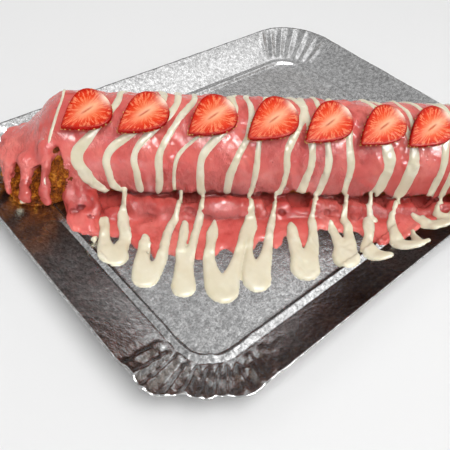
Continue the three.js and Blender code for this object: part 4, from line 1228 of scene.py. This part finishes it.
def tray():
    # Flange, then the pressed lines at its foot, then the floor: each row is a size, a height and s.
    foot = np.array([FOOT_HALF_LENGTH, FOOT_HALF_WIDTH, FOOT_RADIUS])
    rim = np.array([TRAY_HALF_LENGTH, TRAY_HALF_WIDTH, TRAY_RADIUS])
    pressed = np.array(PRESSED)
    rows = [(*(foot + (rim - foot) * s), flange_height(s), s) for s in np.linspace(1, 0, FLANGE_RINGS)]
    for k, height in (
        (0.08, 3.25), (0.18, 3.3), (0.3, 3.6), (0.6, 3.62), (0.74, 3.85), (0.86, 4.1), (1.0, 3.7),
    ):
        rows.append((*(foot - pressed * k), height, 0.0))
    for inset, height in ((0.6, 2.9), (1.1, 2.2), (1.6, 1.7), (2.0, FLOOR_HEIGHT)):
        rows.append((*(foot - pressed - inset), height, 0.0))
    rings, crumples = zip(*[tray_ring(*row) for row in rows])
    upper = list(rings)
    floor = rings[-1]
    crease = list(crumples)
    for shrink in (0.985, 0.95, 0.88, 0.76, 0.6, 0.42, 0.22, 0.06):
        upper.append(floor * np.array([shrink, shrink, 1]))
        crease.append(0 * crumples[0])
    lower = [ring - np.array([0, 0, TRAY_SHEET]) for ring in rings[:FLANGE_RINGS:4]]
    base = floor * np.array([1, 1, 0])
    lower += [base, base * 0.5]
    count = len(floor)
    crease = np.concatenate([np.zeros(count * len(lower))] + crease)
    points = np.concatenate([np.stack(lower[::-1]), np.stack(upper)]).reshape(-1, 3)
    on_top = np.arange(len(points)) >= count * len(lower)
    edge = ease(LEDGE_HEIGHT + 1, RIM_HEIGHT, points[:, 2])
    buckle = 0.4 * noise(points, 26.0, 41) + 0.2 * noise(points, 9.0, 42)
    nick = 0.3 * noise(points, 2.6, 43) * ease(RIM_HEIGHT - 2.5, RIM_HEIGHT - 0.5, points[:, 2])
    creases = (0.75 * noise(points, 7.0, 44) + 0.4 * noise(points, 3.0, 45)) * crease * on_top
    points[:, 2] += buckle * edge * 0.8 + nick + creases * ease(1.6, 3.2, points[:, 2])
    shove = 0.9 * noise(points, 5.0, 46) * crease * (1 - edge)
    points[:, :2] *= (1 + shove / 150)[:, None]
    points[:, 2] = np.maximum(points[:, 2], np.where(on_top, FLOOR_HEIGHT, 0))
    points, faces = close_tube(points, count, (0, 0, 0), (0, 0, FLOOR_HEIGHT))
    limit = np.array([TRAY_HALF_LENGTH, TRAY_HALF_WIDTH])
    points[:, :2] = np.clip(points[:, :2], -limit, limit)
    piece = make_object("tray_foil", points, faces, FOIL)
    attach(piece, "root")
    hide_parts("tray")


glaze()
crust()
crumbs()
berries()
chips()
tray()


# ---- floor, light and camera ----

def area_light(name, place, target, size, power, mirrored):
    """A soft light, or one that only shows as highlights in wet surfaces."""
    lamp = bpy.data.lights.new(name, "AREA")
    lamp.shape = "RECTANGLE"
    lamp.size, lamp.size_y = size
    lamp.energy = power
    item = bpy.data.objects.new(name, lamp)
    item.location = place
    aim = Vector(target) - Vector(place)
    item.rotation_euler = aim.to_track_quat("-Z", "Y").to_euler()
    item.visible_glossy = mirrored
    item.visible_diffuse = not mirrored
    bpy.context.scene.collection.objects.link(item)


floor_mesh = bpy.data.meshes.new("floor")
floor_mesh.from_pydata([(-3, -3, 0), (3, -3, 0), (3, 3, 0), (-3, 3, 0)], [], [(0, 1, 2, 3)])
floor_mesh.materials.append(floor_material())
floor = bpy.data.objects.new("floor", floor_mesh)
floor.location = (0, 0, -0.0003)
bpy.context.scene.collection.objects.link(floor)

area_light("key", (-0.1, -0.7, 1.6), (0, 0, 0.03), (1.6, 1.6), 25, False)
area_light("back", (0.1, 0.9, 1.2), (0, 0, 0.03), (1.2, 0.6), 2, False)
GLINTS = [(-0.55, -0.75, 1.0), (-0.15, -0.85, 1.1), (0.25, -1.0, 1.0), (-0.2, -1.1, 0.8)]
for i, place in enumerate(GLINTS):
    area_light(f"glint_{i}", place, (0, 0, 0.05), (0.25, 0.14), 10, True)

world = bpy.data.worlds.new("studio")
bpy.context.scene.world = world
sky = Look(world, "BACKGROUND")
direction = sky.coordinates["Generated"]
reflected = sky.ramp(sky.parts(direction)[2], (0.0, (0.15, 0.105, 0.08, 1)), (0.3, (0.2, 0.155, 0.125, 1)),
                     (0.48, 0.58), (0.8, 0.5), (0.92, 0.4))
# A broad soft light over the right of the tray shows in the foil.
box_side = sky.add("ShaderNodeVectorMath", {0: direction, 1: (0.5, -0.05, 0.865)}, operation="DOT_PRODUCT")
box = sky.ramp(box_side.outputs["Value"], (0.93, 0), (0.975, 0.9))
reflected = sky.mix(1.0, reflected, box, "ADD")
path = sky.add("ShaderNodeLightPath")
sky.set(Color=sky.mix(path.outputs["Is Glossy Ray"], 0.5, reflected), Strength=1.0)

bpy.context.scene.view_settings.view_transform = "Standard"

# The camera that took the photo, worked out from the tray's straight edges.
camera_data = bpy.data.cameras.new("camera")
camera_data.lens = 45.55
camera_data.sensor_width = 36
camera_data.clip_start = 0.01
camera = bpy.data.objects.new("camera", camera_data)
right = Vector((0.74342962, -0.66146022, 0.09890792))
up = Vector((0.42648809, 0.58277275, 0.69172526))
forward = Vector((0.51518958, 0.472066, -0.71535543))
place = Vector((-0.27366, -0.22431, 0.29677))
rows = [[right[i], up[i], -forward[i], place[i]] for i in range(3)] + [[0, 0, 0, 1]]
camera.matrix_world = Matrix(rows)
bpy.context.scene.collection.objects.link(camera)
bpy.context.scene.camera = camera
